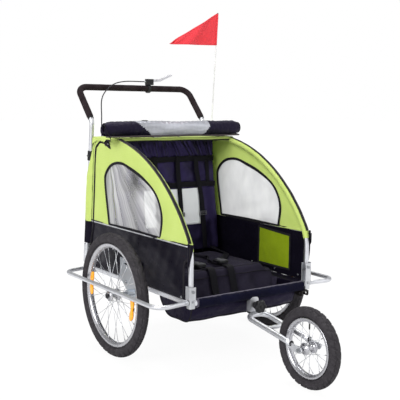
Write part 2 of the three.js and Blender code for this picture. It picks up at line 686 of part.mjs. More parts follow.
function brakeLever() {
  const { pivotX, pivotZ, y, tipX, tipZ } = LEVER;
  const outline = [
    [pivotX - 8, pivotZ - 5], [pivotX + 8, pivotZ - 6], [pivotX + 50, pivotZ - 2],
    [tipX - 20, tipZ - 14], [tipX, tipZ - 6], [tipX, tipZ + 2], [tipX - 24, tipZ - 4],
    [pivotX + 48, pivotZ + 9], [pivotX + 6, pivotZ + 7], [pivotX - 8, pivotZ + 5],
  ];
  const shape = new THREE.Shape(outline.map(([x, z]) => new THREE.Vector2(x, z)));
  const blade = new THREE.ExtrudeGeometry(shape, { depth: 8, bevelEnabled: false });
  blade.rotateX(Math.PI / 2);
  blade.translate(0, y + 4, 0);
  const bore = rod([pivotX, y - 20, pivotZ], [pivotX, y + 20, pivotZ], 3);
  return part('brake_lever', cut(blade, bore), silver());
}

// Outer cable from the clamp, over the bar and down behind the rear panel.
function brakeCable() {
  const start = LEVER.x - 16 - GAP;
  const route = [
    [start, 505, 1118], [-60, 506, 1116], [-140, 484, 1095], [-200, 462, 1040],
    [-224, 424, 950], [-230, 412, 860], [-232, 408, 700],
  ];
  const points = route.map((p) => new THREE.Vector3(...p));
  const curve = new THREE.CatmullRomCurve3(points, false, 'centripetal');
  return part('brake_cable', tube(curve.getPoints(16), 2.5, 6), plastic());
}

// ---------------------------------------------------------------- wheels

function tyre(wheel) {
  const { radius, halfWidth: w, rimRadius, sides } = wheel;
  const crown = radius / Math.cos(Math.PI / sides);
  const deep = crown - rimRadius;
  const half = [
    [crown, 8], [crown - deep * 0.16, w * 0.75], [crown - deep * 0.45, w], [crown - deep * 0.8, w * 0.82],
  ];
  const bead = [rimRadius + GAP, wheel.rimHalf - 1];
  const right = [...half, bead];
  const left = right.map(([r, x]) => [r, -x]).reverse();
  return turnedAboutX([...right, ...left], sides, true);
}

// Rim, hub and tangential spokes laced into one piece.
function lacedWheel(wheel) {
  const { rimRadius, rimInner, rimHalf, spokes, sides } = wheel;
  const { flange, flangeOffset, barrel, bore, hubHalf } = wheel;
  const rim = turnedAboutX([
    [rimRadius, -rimHalf], [rimRadius, rimHalf], [rimInner + 4, rimHalf - 2],
    [rimInner, 5], [rimInner, -5],
    [rimInner + 4, 2 - rimHalf],
  ], sides, true);
  const disc = flange + 4;
  const [discOut, discIn] = [flangeOffset + 3, flangeOffset - 3];
  const side = [[barrel, hubHalf], [barrel, discOut], [disc, discOut], [disc, discIn], [barrel, discIn]];
  const other = side.map(([r, x]) => [r, -x]).reverse();
  const hub = turnedAboutX([[bore, hubHalf], ...side, ...other, [bore, -hubHalf]], 12);
  const lacing = [...Array(spokes).keys()].map((i) => {
    const atRim = (2 * Math.PI * i) / spokes;
    const flangeX = i % 2 ? flangeOffset : -flangeOffset;
    const lead = (i >> 1) % 2 ? 1 : -1; // leading and trailing spokes pass each other on two planes
    const atHub = atRim + lead * THREE.MathUtils.degToRad(62);
    const hubEnd = [flangeX + lead * 1.8, flange * Math.cos(atHub), flange * Math.sin(atHub)];
    const seat = rimInner + 3;
    const rimEnd = [flangeX * 0.15 + lead * 1.8, seat * Math.cos(atRim), seat * Math.sin(atRim)];
    return rod(hubEnd, rimEnd, 1.1, 4);
  });
  const valve = rod([0, 0, rimInner - 24], [0, 0, rimInner + 3], 3, 6);
  return join(rim, hub, ...lacing, valve);
}

// Clip-on reflector: a slightly curved bar outside the spokes, its middle at an angle round the hub.
function reflector(degrees, s) {
  const span = THREE.MathUtils.degToRad(REFLECTOR.span);
  const steps = 4;
  const arc = (r, k) => {
    const t = -span + (2 * span * k) / steps;
    return [r * Math.cos(t), r * Math.sin(t)];
  };
  const ks = [...Array(steps + 1).keys()];
  const away = ks.map((k) => arc(REFLECTOR.outer, k));
  const back = ks.reverse().map((k) => arc(REFLECTOR.inner, k));
  const plate = sidePlate([...away, ...back], ...sidePlanes(s, REFLECTOR.low, REFLECTOR.high));
  plate.rotateX(THREE.MathUtils.degToRad(degrees));
  return plate;
}

function rearWheel(side, s) {
  const turned = group(
    part(`rear_tyre_${side}`, tyre(REAR_WHEEL), rubber()),
    part(`rear_wheel_${side}`, lacedWheel(REAR_WHEEL), silver()),
    part(`reflector_front_${side}`, reflector(REFLECTOR.front, s), amber()),
    part(`reflector_rear_${side}`, reflector(REFLECTOR.rear, s), amber()),
  );
  turned.position.set(s * TRACK_X, 0, REAR_WHEEL.radius);
  return turned;
}

function frontWheel() {
  const turned = group(
    part('front_tyre', tyre(FRONT_WHEEL), rubber()),
    part('front_wheel', lacedWheel(FRONT_WHEEL), silver()),
  );
  turned.position.set(0, FRONT_AXLE_Y, FRONT_WHEEL.radius);
  return turned;
}

// ---------------------------------------------------------------- jogger arm

// Bent fork with its cross brace and the two axle plates welded on.
function jogFork() {
  const { x, tube: r, crownY, crownZ, endY, endZ, braceY } = ARM;
  const slope = (crownZ - endZ) / (crownY - endY);
  const at = (y) => endZ + slope * (y - endY);
  const corners = [[-x, endY, endZ], [-x, crownY, crownZ], [x, crownY, crownZ], [x, endY, endZ]];
  const points = bent(corners, ARM.bend, 5);
  const axleZ = FRONT_WHEEL.radius;
  const outline = [
    [-640, 153], [-640, 173], [-690, axleZ + 13], [-718, axleZ + 11], [-726, axleZ], [-718, axleZ - 11],
    [-690, axleZ - 13],
  ];
  const plates = SIDES.map(({ s }) => sidePlate(outline, ...sidePlanes(s, ARM.tabInner, ARM.tabOuter)));
  const brace = rod([-x, braceY, at(braceY)], [x, braceY, at(braceY)], ARM.brace);
  const bore = rod([-2 * x, FRONT_AXLE_Y, axleZ], [2 * x, FRONT_AXLE_Y, axleZ], 5);
  return part('jogger_fork', cut(join(tube(points, r), ...plates, brace), bore), silver());
}

// Channel welded on the crown, its web in front and its cheeks either side of the receiver.
function armBracket() {
  const { half, inner, top, shoulder, rear } = BRACKET;
  const webFront = RECEIVER.front - 1 - BRACKET.web;
  const webBack = RECEIVER.front - 1;
  const bottom = ARM.crownZ + ARM.tube + GAP;
  const corner = 8;
  const face = [
    [-half, bottom], [half, bottom], [half, top - corner],
    [half - corner, top], [corner - half, top], [-half, top - corner],
  ];
  const cheek = [[webFront, bottom], [webFront, shoulder], [rear, shoulder - 6], [rear, bottom]];
  const cheeks = SIDES.map(({ s }) => sidePlate(cheek, ...sidePlanes(s, inner, half)));
  const hole = rod([0, webFront - 5, KNOB.z], [0, webBack + 5, KNOB.z], KNOB.bolt + GAP);
  return part('arm_bracket', cut(join(frontPlate(face, webFront, webBack), ...cheeks), hole), silver());
}

function frontAxle() {
  const nut = [[0, -61], [4, -61], [4, -56], [8, -56], [8, -49.5], [4.2, -49.5]];
  const profile = [...nut, ...nut.map(([r, x]) => [r, -x]).reverse()];
  const geometry = new THREE.LatheGeometry(profile.map(([r, x]) => new THREE.Vector2(r, x)), 6);
  geometry.rotateZ(-Math.PI / 2);
  return part('front_axle', geometry, steel(), [0, FRONT_AXLE_Y, FRONT_WHEEL.radius]);
}

// Lobed knob on its clamping bolt, turned about Y.
function armKnob() {
  const count = KNOB.lobes * 4;
  const rim = [...Array(count).keys()].map((k) => {
    const t = (2 * Math.PI * k) / count;
    const r = KNOB.radius * (0.9 + 0.1 * Math.cos(KNOB.lobes * t));
    return [r * Math.cos(t), r * Math.sin(t)];
  });
  const head = frontPlate(rim, -KNOB.boss - KNOB.head, -KNOB.boss);
  const boss = rod([0, -KNOB.boss - 2, 0], [0, 0, 0], KNOB.bossRadius);
  const bolt = rod([0, -1, 0], [0, KNOB.boltEnd, 0], KNOB.bolt);
  return part('arm_knob', join(head, boss, bolt), plastic(), [0, KNOB.y, KNOB.z]);
}

// ---------------------------------------------------------------- assembly

const trailer = group(
  baseFrame(),
  frontPad(),
  cabinTub(),
  towBracket(),
  seatPad(),
  seatBack(),
  roofPanel(),
  rearPanel(),
  coverRoll(),
  flag(),
  pushHandle(),
  brakeLever(),
  jogFork(),
  armBracket(),
  frontAxle(),
  armKnob(),
  frontWheel(),
);

for (const { side, s } of SIDES) {
  trailer.add(
    frontChannel(side, s),
    rearChannel(side, s),
    hingePin('front', side, s, FRAME.front),
    hingePin('rear', side, s, FRAME.rear),
    wheelGuard(side, s),
    axlePlate(side, s),
    wheelAxle(side, s),
    releaseButton(side, s),
    harness(side, s),
    sideFrame(side, s),
    rearWheel(side, s),
  );
}

// The origin is on the ground under the middle of the trailer's box.
const extent = new THREE.Box3().setFromObject(trailer);
const middle = extent.getCenter(new THREE.Vector3());
trailer.position.set(-middle.x, -middle.y, -extent.min.z);

export default group(trailer);
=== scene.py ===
"""Looks of the double child bicycle trailer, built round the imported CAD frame.

Shapes are worked out in millimetres with Y counted from the rear axle, as in the CAD source, and
build() turns them into metres in the row frame. "right" is the -X side. CORE is the small radius that
closes a turned piece on its own axis. Where a shape has a side, s is -1 on the right and 1 on the left.
"""

import math

import bmesh
import bpy
import numpy as np
from mathutils import Matrix, Vector


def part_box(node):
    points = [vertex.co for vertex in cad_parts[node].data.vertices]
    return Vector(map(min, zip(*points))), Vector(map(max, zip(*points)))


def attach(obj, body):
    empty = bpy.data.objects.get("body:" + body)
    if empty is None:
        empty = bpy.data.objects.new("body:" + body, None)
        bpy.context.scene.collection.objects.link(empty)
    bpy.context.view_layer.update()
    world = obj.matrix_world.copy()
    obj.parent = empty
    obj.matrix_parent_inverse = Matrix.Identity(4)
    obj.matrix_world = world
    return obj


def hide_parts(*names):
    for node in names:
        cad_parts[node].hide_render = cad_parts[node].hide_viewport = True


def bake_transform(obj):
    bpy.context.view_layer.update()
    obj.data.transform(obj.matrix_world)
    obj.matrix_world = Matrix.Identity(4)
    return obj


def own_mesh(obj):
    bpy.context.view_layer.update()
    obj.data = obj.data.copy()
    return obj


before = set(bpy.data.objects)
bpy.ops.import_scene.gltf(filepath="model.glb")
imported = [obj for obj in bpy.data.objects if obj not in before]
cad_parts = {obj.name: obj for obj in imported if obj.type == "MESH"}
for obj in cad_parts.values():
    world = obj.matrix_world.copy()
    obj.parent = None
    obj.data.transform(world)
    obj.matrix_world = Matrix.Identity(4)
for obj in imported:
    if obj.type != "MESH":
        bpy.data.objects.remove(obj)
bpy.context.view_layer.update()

MM = 0.001
SCENE = bpy.context.scene
tyre_low, tyre_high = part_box("rear_tyre_right")
AXLE_Y = (tyre_low.y + tyre_high.y) / 2 / MM
SIDES = (("right", -1), ("left", 1))
SIGNS = (-1, 1)
HINGE_Z = {"right": 327.0, "left": 355.0}
BELT_Z = 495.0
RAIL_X = 288.0
FRAME_Z = 281.0
FRONT_Y = -381.0
REAR_Y = 383.0
FABRIC_X = 300.5
HANDLE_X = 298.0
WHEEL_X = 400.0
AXLE_Z = 250.0
FRONT_AXLE = (0, -710, 150)
GUARD_Z = 286.0
FLOOR_Z = 293.0
WELL_TOP = 292.0
ROOF_Z = 869.0
ROOF_FRONT = 139.0
CLOTH, THIN_CLOTH, THICK_CLOTH = 1.6, 1.4, 1.8
CORE = 0.01
EDGE_ANGLE = 32
NODE_EDGE_ANGLE = 35
X, Y, Z = 0, 1, 2
TAU = 2 * math.pi

# ---------------------------------------------------------------- geometry helpers


def unit(v):
    v = np.asarray(v, float)
    return v / np.maximum(np.linalg.norm(v, axis=-1, keepdims=True), 1e-9)


def smooth(t):
    t = np.clip(t, 0.0, 1.0)
    return t * t * (3 - 2 * t)


def waves(points, pitch, seed, count=7):
    """Smooth noise between about -1 and 1: sines in fixed pseudo-random directions."""
    rng = np.random.default_rng(seed)
    points = np.asarray(points, float)
    total = np.zeros(points.shape[:-1])
    for _ in range(count):
        direction = unit(rng.normal(size=3))
        rate = TAU / pitch * rng.uniform(0.6, 1.7)
        total += np.sin(points @ direction * rate + rng.uniform(0, TAU))
    return total / math.sqrt(count)


def circle(radius, sides, turn=0.0):
    t = TAU * np.arange(sides) / sides + turn
    return np.stack([radius * np.cos(t), radius * np.sin(t)], 1)


def band(width, thick, corner=None, steps=3):
    """Rounded rectangle, the cross-section of webbing and of square tube."""
    corner = min(corner if corner is not None else thick / 2, thick / 2, width / 2)
    points = []
    for k, (sx, sy) in enumerate(((1, 1), (-1, 1), (-1, -1), (1, -1))):
        for j in range(steps + 1):
            t = (k + j / steps) * math.pi / 2
            points.append((
                sx * (width / 2 - corner) + corner * math.cos(t),
                sy * (thick / 2 - corner) + corner * math.sin(t),
            ))
    return np.array(points)


def bent(corners, radius, steps=10):
    """A polyline with every inner corner rounded."""
    pts = [np.array(c, float) for c in corners]
    path = [pts[0]]
    for before, here, after in zip(pts, pts[1:], pts[2:]):
        back, on = unit(before - here), unit(after - here)
        half = math.acos(np.clip(back @ on, -1, 1)) / 2
        setback = radius / math.tan(half)
        centre = here + unit(back + on) * radius / math.sin(half)
        a, b = here + back * setback - centre, here + on * setback - centre
        turn = math.acos(np.clip(unit(a) @ unit(b), -1, 1))
        for k in range(steps + 1):
            t = k / steps
            path.append(centre + (a * math.sin((1 - t) * turn) + b * math.sin(t * turn)) / math.sin(turn))
    path.append(pts[-1])
    return np.array(path)


def spline(points, per=8):
    """Catmull-Rom curve through the points."""
    p = np.asarray(points, float)
    p = np.vstack([2 * p[0] - p[1], p, 2 * p[-1] - p[-2]])
    out = []
    for i in range(1, len(p) - 2):
        for t in np.arange(per) / per:
            a, b, c, d = p[i - 1:i + 3]
            out.append(0.5 * (2 * b + (c - a) * t + (2 * a - 5 * b + 4 * c - d) * t**2
                              + (3 * b - a - 3 * c + d) * t**3))
    out.append(p[-2])
    return np.array(out)


def grid(n, m, start=0):
    """Two (n, m) arrays: the first runs from start to 1 down the rows, the second from 0 to 1 across."""
    return np.meshgrid(np.linspace(start, 1, n), np.linspace(0, 1, m), indexing="ij")


def dense(path, step):
    """The same polyline with points at most step apart."""
    path = np.asarray(path, float)
    out = [path[:1]]
    for a, b in zip(path, path[1:]):
        n = max(1, int(math.ceil(np.linalg.norm(b - a) / step)))
        out.append(a + (b - a) * (np.arange(1, n + 1) / n)[:, None])
    return np.vstack(out)


def lattice(points, closed=False, closed_across=False):
    """Quads over an (n, m, 3) array."""
    n, m = points.shape[:2]
    faces = []
    for i in range(n if closed else n - 1):
        for j in range(m if closed_across else m - 1):
            a, b = i * m, ((i + 1) % n) * m
            k = (j + 1) % m
            faces.append((a + j, a + k, b + k, b + j))
    return points.reshape(-1, 3), faces


def sweep(path, profile, side=None, closed=False, scale=None):
    """Carries a closed profile along a path; with side, the profile's first axis keeps to that direction."""
    path = np.asarray(path, float)
    n, m = len(path), len(profile)
    index = np.arange(n)
    if closed:
        tangent = unit(np.roll(path, -1, 0) - np.roll(path, 1, 0))
    else:
        tangent = unit(path[np.minimum(index + 1, n - 1)] - path[np.maximum(index - 1, 0)])
    current = np.eye(3)[np.argmin(np.abs(tangent[0]))] if side is None else None
    across = np.zeros_like(path)
    for i in range(n):
        if side is not None:
            current = np.array(side if np.ndim(side) == 1 else side[i], float)
        current = unit(current - tangent[i] * (current @ tangent[i]))
        across[i] = current
    normal = np.cross(tangent, across)
    k = np.ones(n) if scale is None else np.asarray(scale, float)
    prof = np.asarray(profile, float)
    section = prof[None, :, 0:1] * across[:, None] + prof[None, :, 1:2] * normal[:, None]
    rings = path[:, None] + k[:, None, None] * section
    verts, faces = lattice(rings, closed, True)
    if not closed:
        faces.append(tuple(range(m - 1, -1, -1)))
        faces.append(tuple(range((n - 1) * m, n * m)))
    return verts, faces


def tube(path, radius, sides=16, scale=None):
    return sweep(path, circle(radius, sides), scale=scale)


def lathe(profile, sides, centre, axis=0, closed=True, turn=0.0):
    """Turns (radius, height) points about an axis."""
    p = np.asarray(profile, float)
    t = TAU * np.arange(sides) / sides + turn
    rings = np.zeros((sides, len(p), 3))
    a, b = [k for k in range(3) if k != axis]
    rings[:, :, axis] = p[None, :, 1]
    rings[:, :, a] = p[None, :, 0] * np.cos(t)[:, None]
    rings[:, :, b] = p[None, :, 0] * np.sin(t)[:, None]
    verts, faces = lattice(rings, True, closed)
    if not closed:
        m = len(p)
        faces.append(tuple(i * m for i in range(sides)))
        faces.append(tuple(i * m + m - 1 for i in range(sides)))
    return verts + np.array(centre, float), faces


def drum(radius, low, high, sides, at, axis=0):
    """A closed cylinder."""
    return lathe([(CORE, low), (radius, low), (radius, high), (CORE, high)], sides, at, axis)


def prism(outline, low, high, axis=0):
    """A flat outline given depth along an axis."""
    o = np.asarray(outline, float)
    n = len(o)
    a, b = [k for k in range(3) if k != axis]
    verts = np.zeros((2 * n, 3))
    for k, level in enumerate((low, high)):
        verts[k * n:(k + 1) * n, axis] = level
        verts[k * n:(k + 1) * n, a] = o[:, 0]
        verts[k * n:(k + 1) * n, b] = o[:, 1]
    faces = [(i, (i + 1) % n, n + (i + 1) % n, n + i) for i in range(n)]
    return verts, faces + [tuple(range(n)), tuple(range(2 * n - 1, n - 1, -1))]


def block(low, high):
    (x0, y0, z0), (x1, y1, z1) = low, high
    return prism([(y0, z0), (y1, z0), (y1, z1), (y0, z1)], x0, x1)


def merge(*shapes):
    verts, faces, base = [], [], 0
    for v, f in shapes:
        verts.append(np.asarray(v, float))
        faces += [tuple(i + base for i in face) for face in f]
        base += len(v)
    return np.vstack(verts), faces


def turned(shape, angle, axis, centre):
    """The shape turned about a line along an axis through centre."""
    v, f = shape
    rotation = np.array(Matrix.Rotation(angle, 3, "XYZ"[axis]))
    centre = np.array(centre, float)
    return (v - centre) @ rotation.T + centre, f


def mirrored(shape, s):
    v, f = shape
    return np.asarray(v, float) * np.array([s, 1, 1]), f


def radial(outline, centre, angles):
    """Distance from centre to a closed outline along each angle."""
    a = np.asarray(outline, float) - np.asarray(centre, float)
    d = np.roll(a, -1, 0) - a
    out = []
    for t in angles:
        c, s = math.cos(t), math.sin(t)
        den = c * d[:, 1] - s * d[:, 0]
        den = np.where(np.abs(den) < 1e-9, 1e-9, den)
        r = (a[:, 0] * d[:, 1] - a[:, 1] * d[:, 0]) / den
        k = (a[:, 0] * s - a[:, 1] * c) / den
        ok = (k > -1e-6) & (k < 1 + 1e-6) & (r > 0)
        out.append(r[ok].max())
    return np.array(out)


def stitches(path, lift=(0, 0, 0), length=4.2, gap=2.6, radius=0.55):
    """Thread stitches along a path: long thin octahedra, lift away from the cloth."""
    path = dense(np.asarray(path, float) + np.asarray(lift, float), length + gap)
    shapes = []
    for a, b in zip(path, path[1:]):
        along = b - a
        size = np.linalg.norm(along)
        if size < 1e-6:
            continue
        along = along / size
        half = min(length, size * 0.7) / 2
        mid = (a + b) / 2
        s1 = unit(np.cross(along, [0.3, 0.2, 0.93] if abs(along[2]) < 0.8 else [0.9, 0.3, 0.1]))
        s2 = np.cross(along, s1)
        v = [mid - along * half, mid + along * half] + [
            mid + radius * (s1 * math.cos(q) + s2 * math.sin(q)) for q in np.arange(4) * math.pi / 2]
        f = [(0, 2 + k, 2 + (k + 1) % 4) for k in range(4)] + [(1, 2 + (k + 1) % 4, 2 + k) for k in range(4)]
        shapes.append((np.array(v), f))
    return merge(*shapes)


def build(name, shape, finish, body="base", node=None, slot=None, closed=True, solid=0.0, bevel=0.0,
          pick=None):
    """Makes the object in the row frame, in place of a CAD node if one is given.

    shape is (vertices, faces) or a grid of points. A sheet is closed=False, or has a thickness, solid.
    pick gives each face its material when finish is a list. A colour slot, the one given or that of the last
    finish, is worked out but not given to the object.
    """
    verts, faces = lattice(shape) if isinstance(shape, np.ndarray) else shape
    mesh = bpy.data.meshes.new(name)
    co = (np.asarray(verts, float) + np.array([0, AXLE_Y, 0])) * MM
    mesh.from_pydata(co.tolist(), [], faces)
    if closed and not solid:
        bm = bmesh.new()
        bm.from_mesh(mesh)
        bmesh.ops.recalc_face_normals(bm, faces=bm.faces)
        bm.to_mesh(mesh)
        bm.free()
    finishes = finish if isinstance(finish, (list, tuple)) else [finish]
    for one in finishes:
        mesh.materials.append(one)
    if pick is not None:
        centres = np.array([np.mean(np.asarray(verts)[list(f)], 0) for f in faces])
        mesh.polygons.foreach_set("material_index", pick(centres).astype(np.int32))
    mesh.polygons.foreach_set("use_smooth", np.full(len(mesh.polygons), True))
    mesh.update()
    obj = bpy.data.objects.new(name, mesh)
    SCENE.collection.objects.link(obj)
    if bevel:
        cut = obj.modifiers.new("edges", "BEVEL")
        cut.width, cut.segments, cut.limit_method = bevel * MM, 3, "ANGLE"
        cut.angle_limit = math.radians(EDGE_ANGLE)
        cut.harden_normals = True
    if solid:
        wall = obj.modifiers.new("thickness", "SOLIDIFY")
        wall.thickness, wall.offset = solid * MM, 0.0
    if body:
        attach(obj, body)
    if node:
        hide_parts(node)
    slot = slot or (SLOT_OF.get(finishes[-1].name) if finishes else None)
    return obj


# ---------------------------------------------------------------- finishes


class Graph:
    """A material's node tree with a few shorthands."""

    def __init__(self, name):
        self.material = bpy.data.materials.new(name)
        self.material.use_nodes = True
        self.tree = self.material.node_tree
        self.nodes = self.tree.nodes
        self.bsdf = self.nodes["Principled BSDF"]
        self.out = self.nodes["Material Output"]
        self.coords = self.nodes.new("ShaderNodeTexCoord").outputs["Object"]

    def link(self, a, b):
        self.tree.links.new(a, b)

    def put(self, socket, value):
        if isinstance(value, bpy.types.NodeSocket):
            self.link(value, socket)
        else:
            socket.default_value = value

    def math(self, operation, a, b=0.0, c=0.0):
        node = self.nodes.new("ShaderNodeMath")
        node.operation = operation
        for socket, value in zip(node.inputs, (a, b, c)):
            self.put(socket, value)
        return node.outputs[0]

    def set(self, name, value):
        """Sets or links an input of the main shader."""
        self.put(self.bsdf.inputs[name], value)

    def hypot(self, a, b):
        return self.math("SQRT", self.math("ADD", self.math("MULTIPLY", a, a), self.math("MULTIPLY", b, b)))

    def noise(self, scale, detail=3.0, rough=0.55, stretch=(1, 1, 1)):
        node = self.nodes.new("ShaderNodeTexNoise")
        node.inputs["Scale"].default_value = scale
        node.inputs["Detail"].default_value = detail
        node.inputs["Roughness"].default_value = rough
        mapping = self.nodes.new("ShaderNodeMapping")
        mapping.inputs["Scale"].default_value = stretch
        self.link(self.coords, mapping.inputs["Vector"])
        self.link(mapping.outputs[0], node.inputs["Vector"])
        return node.outputs["Fac"]

    def stripes(self, axis, pitch):
        """A sine of one coordinate, 0 to 1, with its period in millimetres."""
        split = self.nodes.new("ShaderNodeSeparateXYZ")
        self.link(self.coords, split.inputs[0])
        phase = self.math("MULTIPLY", split.outputs[axis], TAU / (pitch * MM))
        return self.math("MULTIPLY_ADD", self.math("SINE", phase), 0.5, 0.5)

    def span(self, value, low, high, to_low=0.0, to_high=1.0):
        node = self.nodes.new("ShaderNodeMapRange")
        for key, v in (("Value", value), ("From Min", low), ("From Max", high),
                       ("To Min", to_low), ("To Max", to_high)):
            self.put(node.inputs[key], v)
        return node.outputs[0]

    def mix(self, factor, a, b):
        node = self.nodes.new("ShaderNodeMix")
        node.data_type = "RGBA"
        self.put(node.inputs["Factor"], factor)
        for key, value in (("A", a), ("B", b)):
            socket = [s for s in node.inputs if s.name == key and s.type == "RGBA"][0]
            self.put(socket, value if isinstance(value, bpy.types.NodeSocket) else (*value, 1.0))
        return [s for s in node.outputs if s.type == "RGBA"][0]

    def bump(self, height, distance, strength=1.0):
        node = self.nodes.new("ShaderNodeBump")
        node.inputs["Strength"].default_value = strength
        node.inputs["Distance"].default_value = distance * MM
        self.link(height, node.inputs["Height"])
        for socket in self.bsdf.inputs:
            if socket.name == "Normal" and socket.is_linked:
                self.link(socket.links[0].from_socket, node.inputs["Normal"])
        self.link(node.outputs[0], self.bsdf.inputs["Normal"])
        return node.outputs[0]

    def worn(self, colour, bright, amount):
        """Rubbed, lighter edges."""
        point = self.nodes.new("ShaderNodeNewGeometry").outputs["Pointiness"]
        edge = self.span(point, 0.53, 0.62, 0.0, amount)
        broken = self.math("MULTIPLY", edge, self.span(self.noise(90), 0.35, 0.65))
        return self.mix(broken, colour, bright)


def tint(colour, k):
    return tuple(min(1.0, c * k) for c in colour)


def metal(name, colour, rough, cast=0.0):
    """Bare or plated metal: fine grain, cloudy oxide, rubbed edges, and the skin of a casting."""
    g = Graph(name)
    cloud = g.span(g.noise(14, 4), 0.3, 0.7)
    base = g.mix(cloud, tint(colour, 0.88), tint(colour, 1.06))
    g.set("Base Color", g.worn(base, tint(colour, 1.25), 0.6))
    g.set("Metallic", 0.92)
    g.set("Roughness", g.span(g.noise(60, 5), 0.25, 0.75, rough - 0.07, rough + 0.12))
    g.bump(g.noise(900, 2), 0.04)
    if cast:
        g.bump(g.noise(420, 3), cast)
    return g.material


def moulded(name, colour, rough, grain=0.12, metallic=0.0, scratch=0.5):
    """Moulded plastic or painted steel: fine grain, dull patches, paler edges."""
    g = Graph(name)
    cloud = g.span(g.noise(22, 4), 0.3, 0.7)
    base = g.mix(cloud, tint(colour, 0.8), tint(colour, 1.3))
    g.set("Base Color", g.worn(base, tuple(c + 0.05 for c in colour), scratch))
    g.set("Metallic", metallic)
    g.set("Specular IOR Level", 0.3)
    g.set("Roughness", g.span(g.noise(45, 4), 0.25, 0.75, rough - 0.1, rough + 0.12))
    g.bump(g.noise(1100, 2), grain)
    return g.material


def cloth(name, colour, shade, axes, pitch=1.1, rough=0.85, weave=0.16, crumple=1.6, sheen=0.1,
          through=0.0, coat=0.0, ripstop=0.0, shine=0.3, hue=(1.0, 1.0, 1.0)):
    """Woven cloth: over-under threads on two axes, uneven dye, soft crumples, and light coming through."""
    g = Graph(name)
    warp, weft = g.stripes(axes[0], pitch), g.stripes(axes[1], pitch)
    threads = g.math("MULTIPLY", warp, weft)
    cloud = g.span(g.noise(9, 5, 0.6), 0.3, 0.7)
    dyed = g.mix(cloud, shade, colour)
    fine = g.span(threads, 0.0, 1.0, 0.0, 0.22)
    base = g.mix(fine, dyed, tint(colour, 0.72))
    if ripstop:
        lines = g.math("MAXIMUM", g.stripes(axes[0], ripstop), g.stripes(axes[1], ripstop))
        base = g.mix(g.span(lines, 0.97, 1.0, 0.0, 0.25), base, tint(colour, 0.6))
    g.set("Base Color", base)
    g.set("Roughness", g.span(g.noise(70, 3), 0.3, 0.7, rough - 0.08, min(1.0, rough + 0.08)))
    g.set("Specular IOR Level", shine)
    g.set("Specular Tint", (*hue, 1.0))
    g.set("Sheen Weight", sheen)
    g.set("Sheen Roughness", 0.4)
    g.set("Coat Weight", coat)
    g.set("Coat Roughness", 0.35)
    g.bump(g.noise(28, 4, 0.6), crumple)
    g.bump(threads, weave)
    if through:
        light = g.nodes.new("ShaderNodeBsdfTranslucent")
        g.put(light.inputs["Color"], base)
        blend = g.nodes.new("ShaderNodeMixShader")
        blend.inputs[0].default_value = through
        g.link(g.bsdf.outputs[0], blend.inputs[1])
        g.link(light.outputs[0], blend.inputs[2])
        g.link(blend.outputs[0], g.out.inputs["Surface"])
    return g.material


def webbing_finish(name, colour, axis, pitch=1.6):
    """Polyester webbing: ribs across the strap and a herringbone along it."""
    g = Graph(name)
    ribs = g.stripes(axis, pitch)
    cross = g.math("MULTIPLY", ribs, g.stripes((axis + 1) % 3, pitch * 1.7))
    base = g.mix(g.span(cross, 0, 1, 0, 0.5), colour, tint(colour, 1.9))
    g.set("Base Color", base)
    g.set("Roughness", 0.62)
    g.set("Specular IOR Level", 0.15)
    g.bump(cross, 0.35)
    g.bump(g.noise(60, 3), 0.4)
    return g.material


def clear_film(name, body, alpha_low, alpha_high, streak, fan=None, clear=None):
    """Soft PVC window: see-through, with slack ripples. Its pale body colour and its cover are painted light
    from the bright studio, and pale and dark streaks along its folds vary that painted light.

    The streaks fan out from the point fan, and the painted light thins round the point clear, so the film is
    clearest there.
    """
    g = Graph(name)
    split = g.nodes.new("ShaderNodeSeparateXYZ")
    g.link(g.coords, split.inputs[0])
    if fan:
        across = g.math("SUBTRACT", split.outputs[1], fan[0])
        down = g.math("SUBTRACT", split.outputs[2], fan[1])
        angle = g.math("ARCTAN2", across, down)
        far = g.hypot(across, down)
        place = g.nodes.new("ShaderNodeCombineXYZ")
        g.put(place.inputs[0], g.math("MULTIPLY", angle, 0.55))
        g.put(place.inputs[1], g.math("MULTIPLY", far, 0.16))
        g.coords = place.outputs[0]
    streaks = g.noise(9.0, 3, 0.5, streak)
    fine = g.noise(34, 3, 0.5, streak)
    painted_reflection = g.math("MULTIPLY_ADD", fine, 0.35, g.math("MULTIPLY", streaks, 0.65))
    # Base colour: painted light from the studio, paler and darker along the streaks.
    g.set("Base Color", g.mix(g.span(painted_reflection, 0.35, 0.65), tint(body, 0.62), tint(body, 1.25)))
    g.set("Roughness", 0.2)
    g.set("Coat Weight", 0.4)
    g.set("Coat Roughness", 0.1)
    # Cover: how far the painted light hides what lies behind, thinned round the point clear.
    cover = g.span(painted_reflection, 0.36, 0.62, alpha_low, alpha_high)
    if clear:
        aside = g.math("SUBTRACT", split.outputs[1], clear[0])
        below = g.math("SUBTRACT", split.outputs[2], clear[1])
        cover = g.math("MULTIPLY", cover, g.span(g.hypot(aside, below), 0.02, 0.09, 0.32, 1.0))
    g.set("Alpha", cover)
    g.bump(streaks, 4.0)
    g.bump(fine, 0.8)
    return g.material


def rubber_finish():
    g = Graph("tyre_rubber")
    dust = g.span(g.noise(35, 5, 0.6), 0.45, 0.75)
    base = g.mix(dust, (0.026, 0.023, 0.027), (0.044, 0.040, 0.046))
    g.set("Base Color", g.worn(base, (0.20, 0.19, 0.205), 0.9))
    g.set("Specular IOR Level", 0.3)
    g.set("Roughness", g.span(g.noise(50), 0.3, 0.7, 0.62, 0.85))
    g.bump(g.noise(700, 3), 0.15)
    return g.material


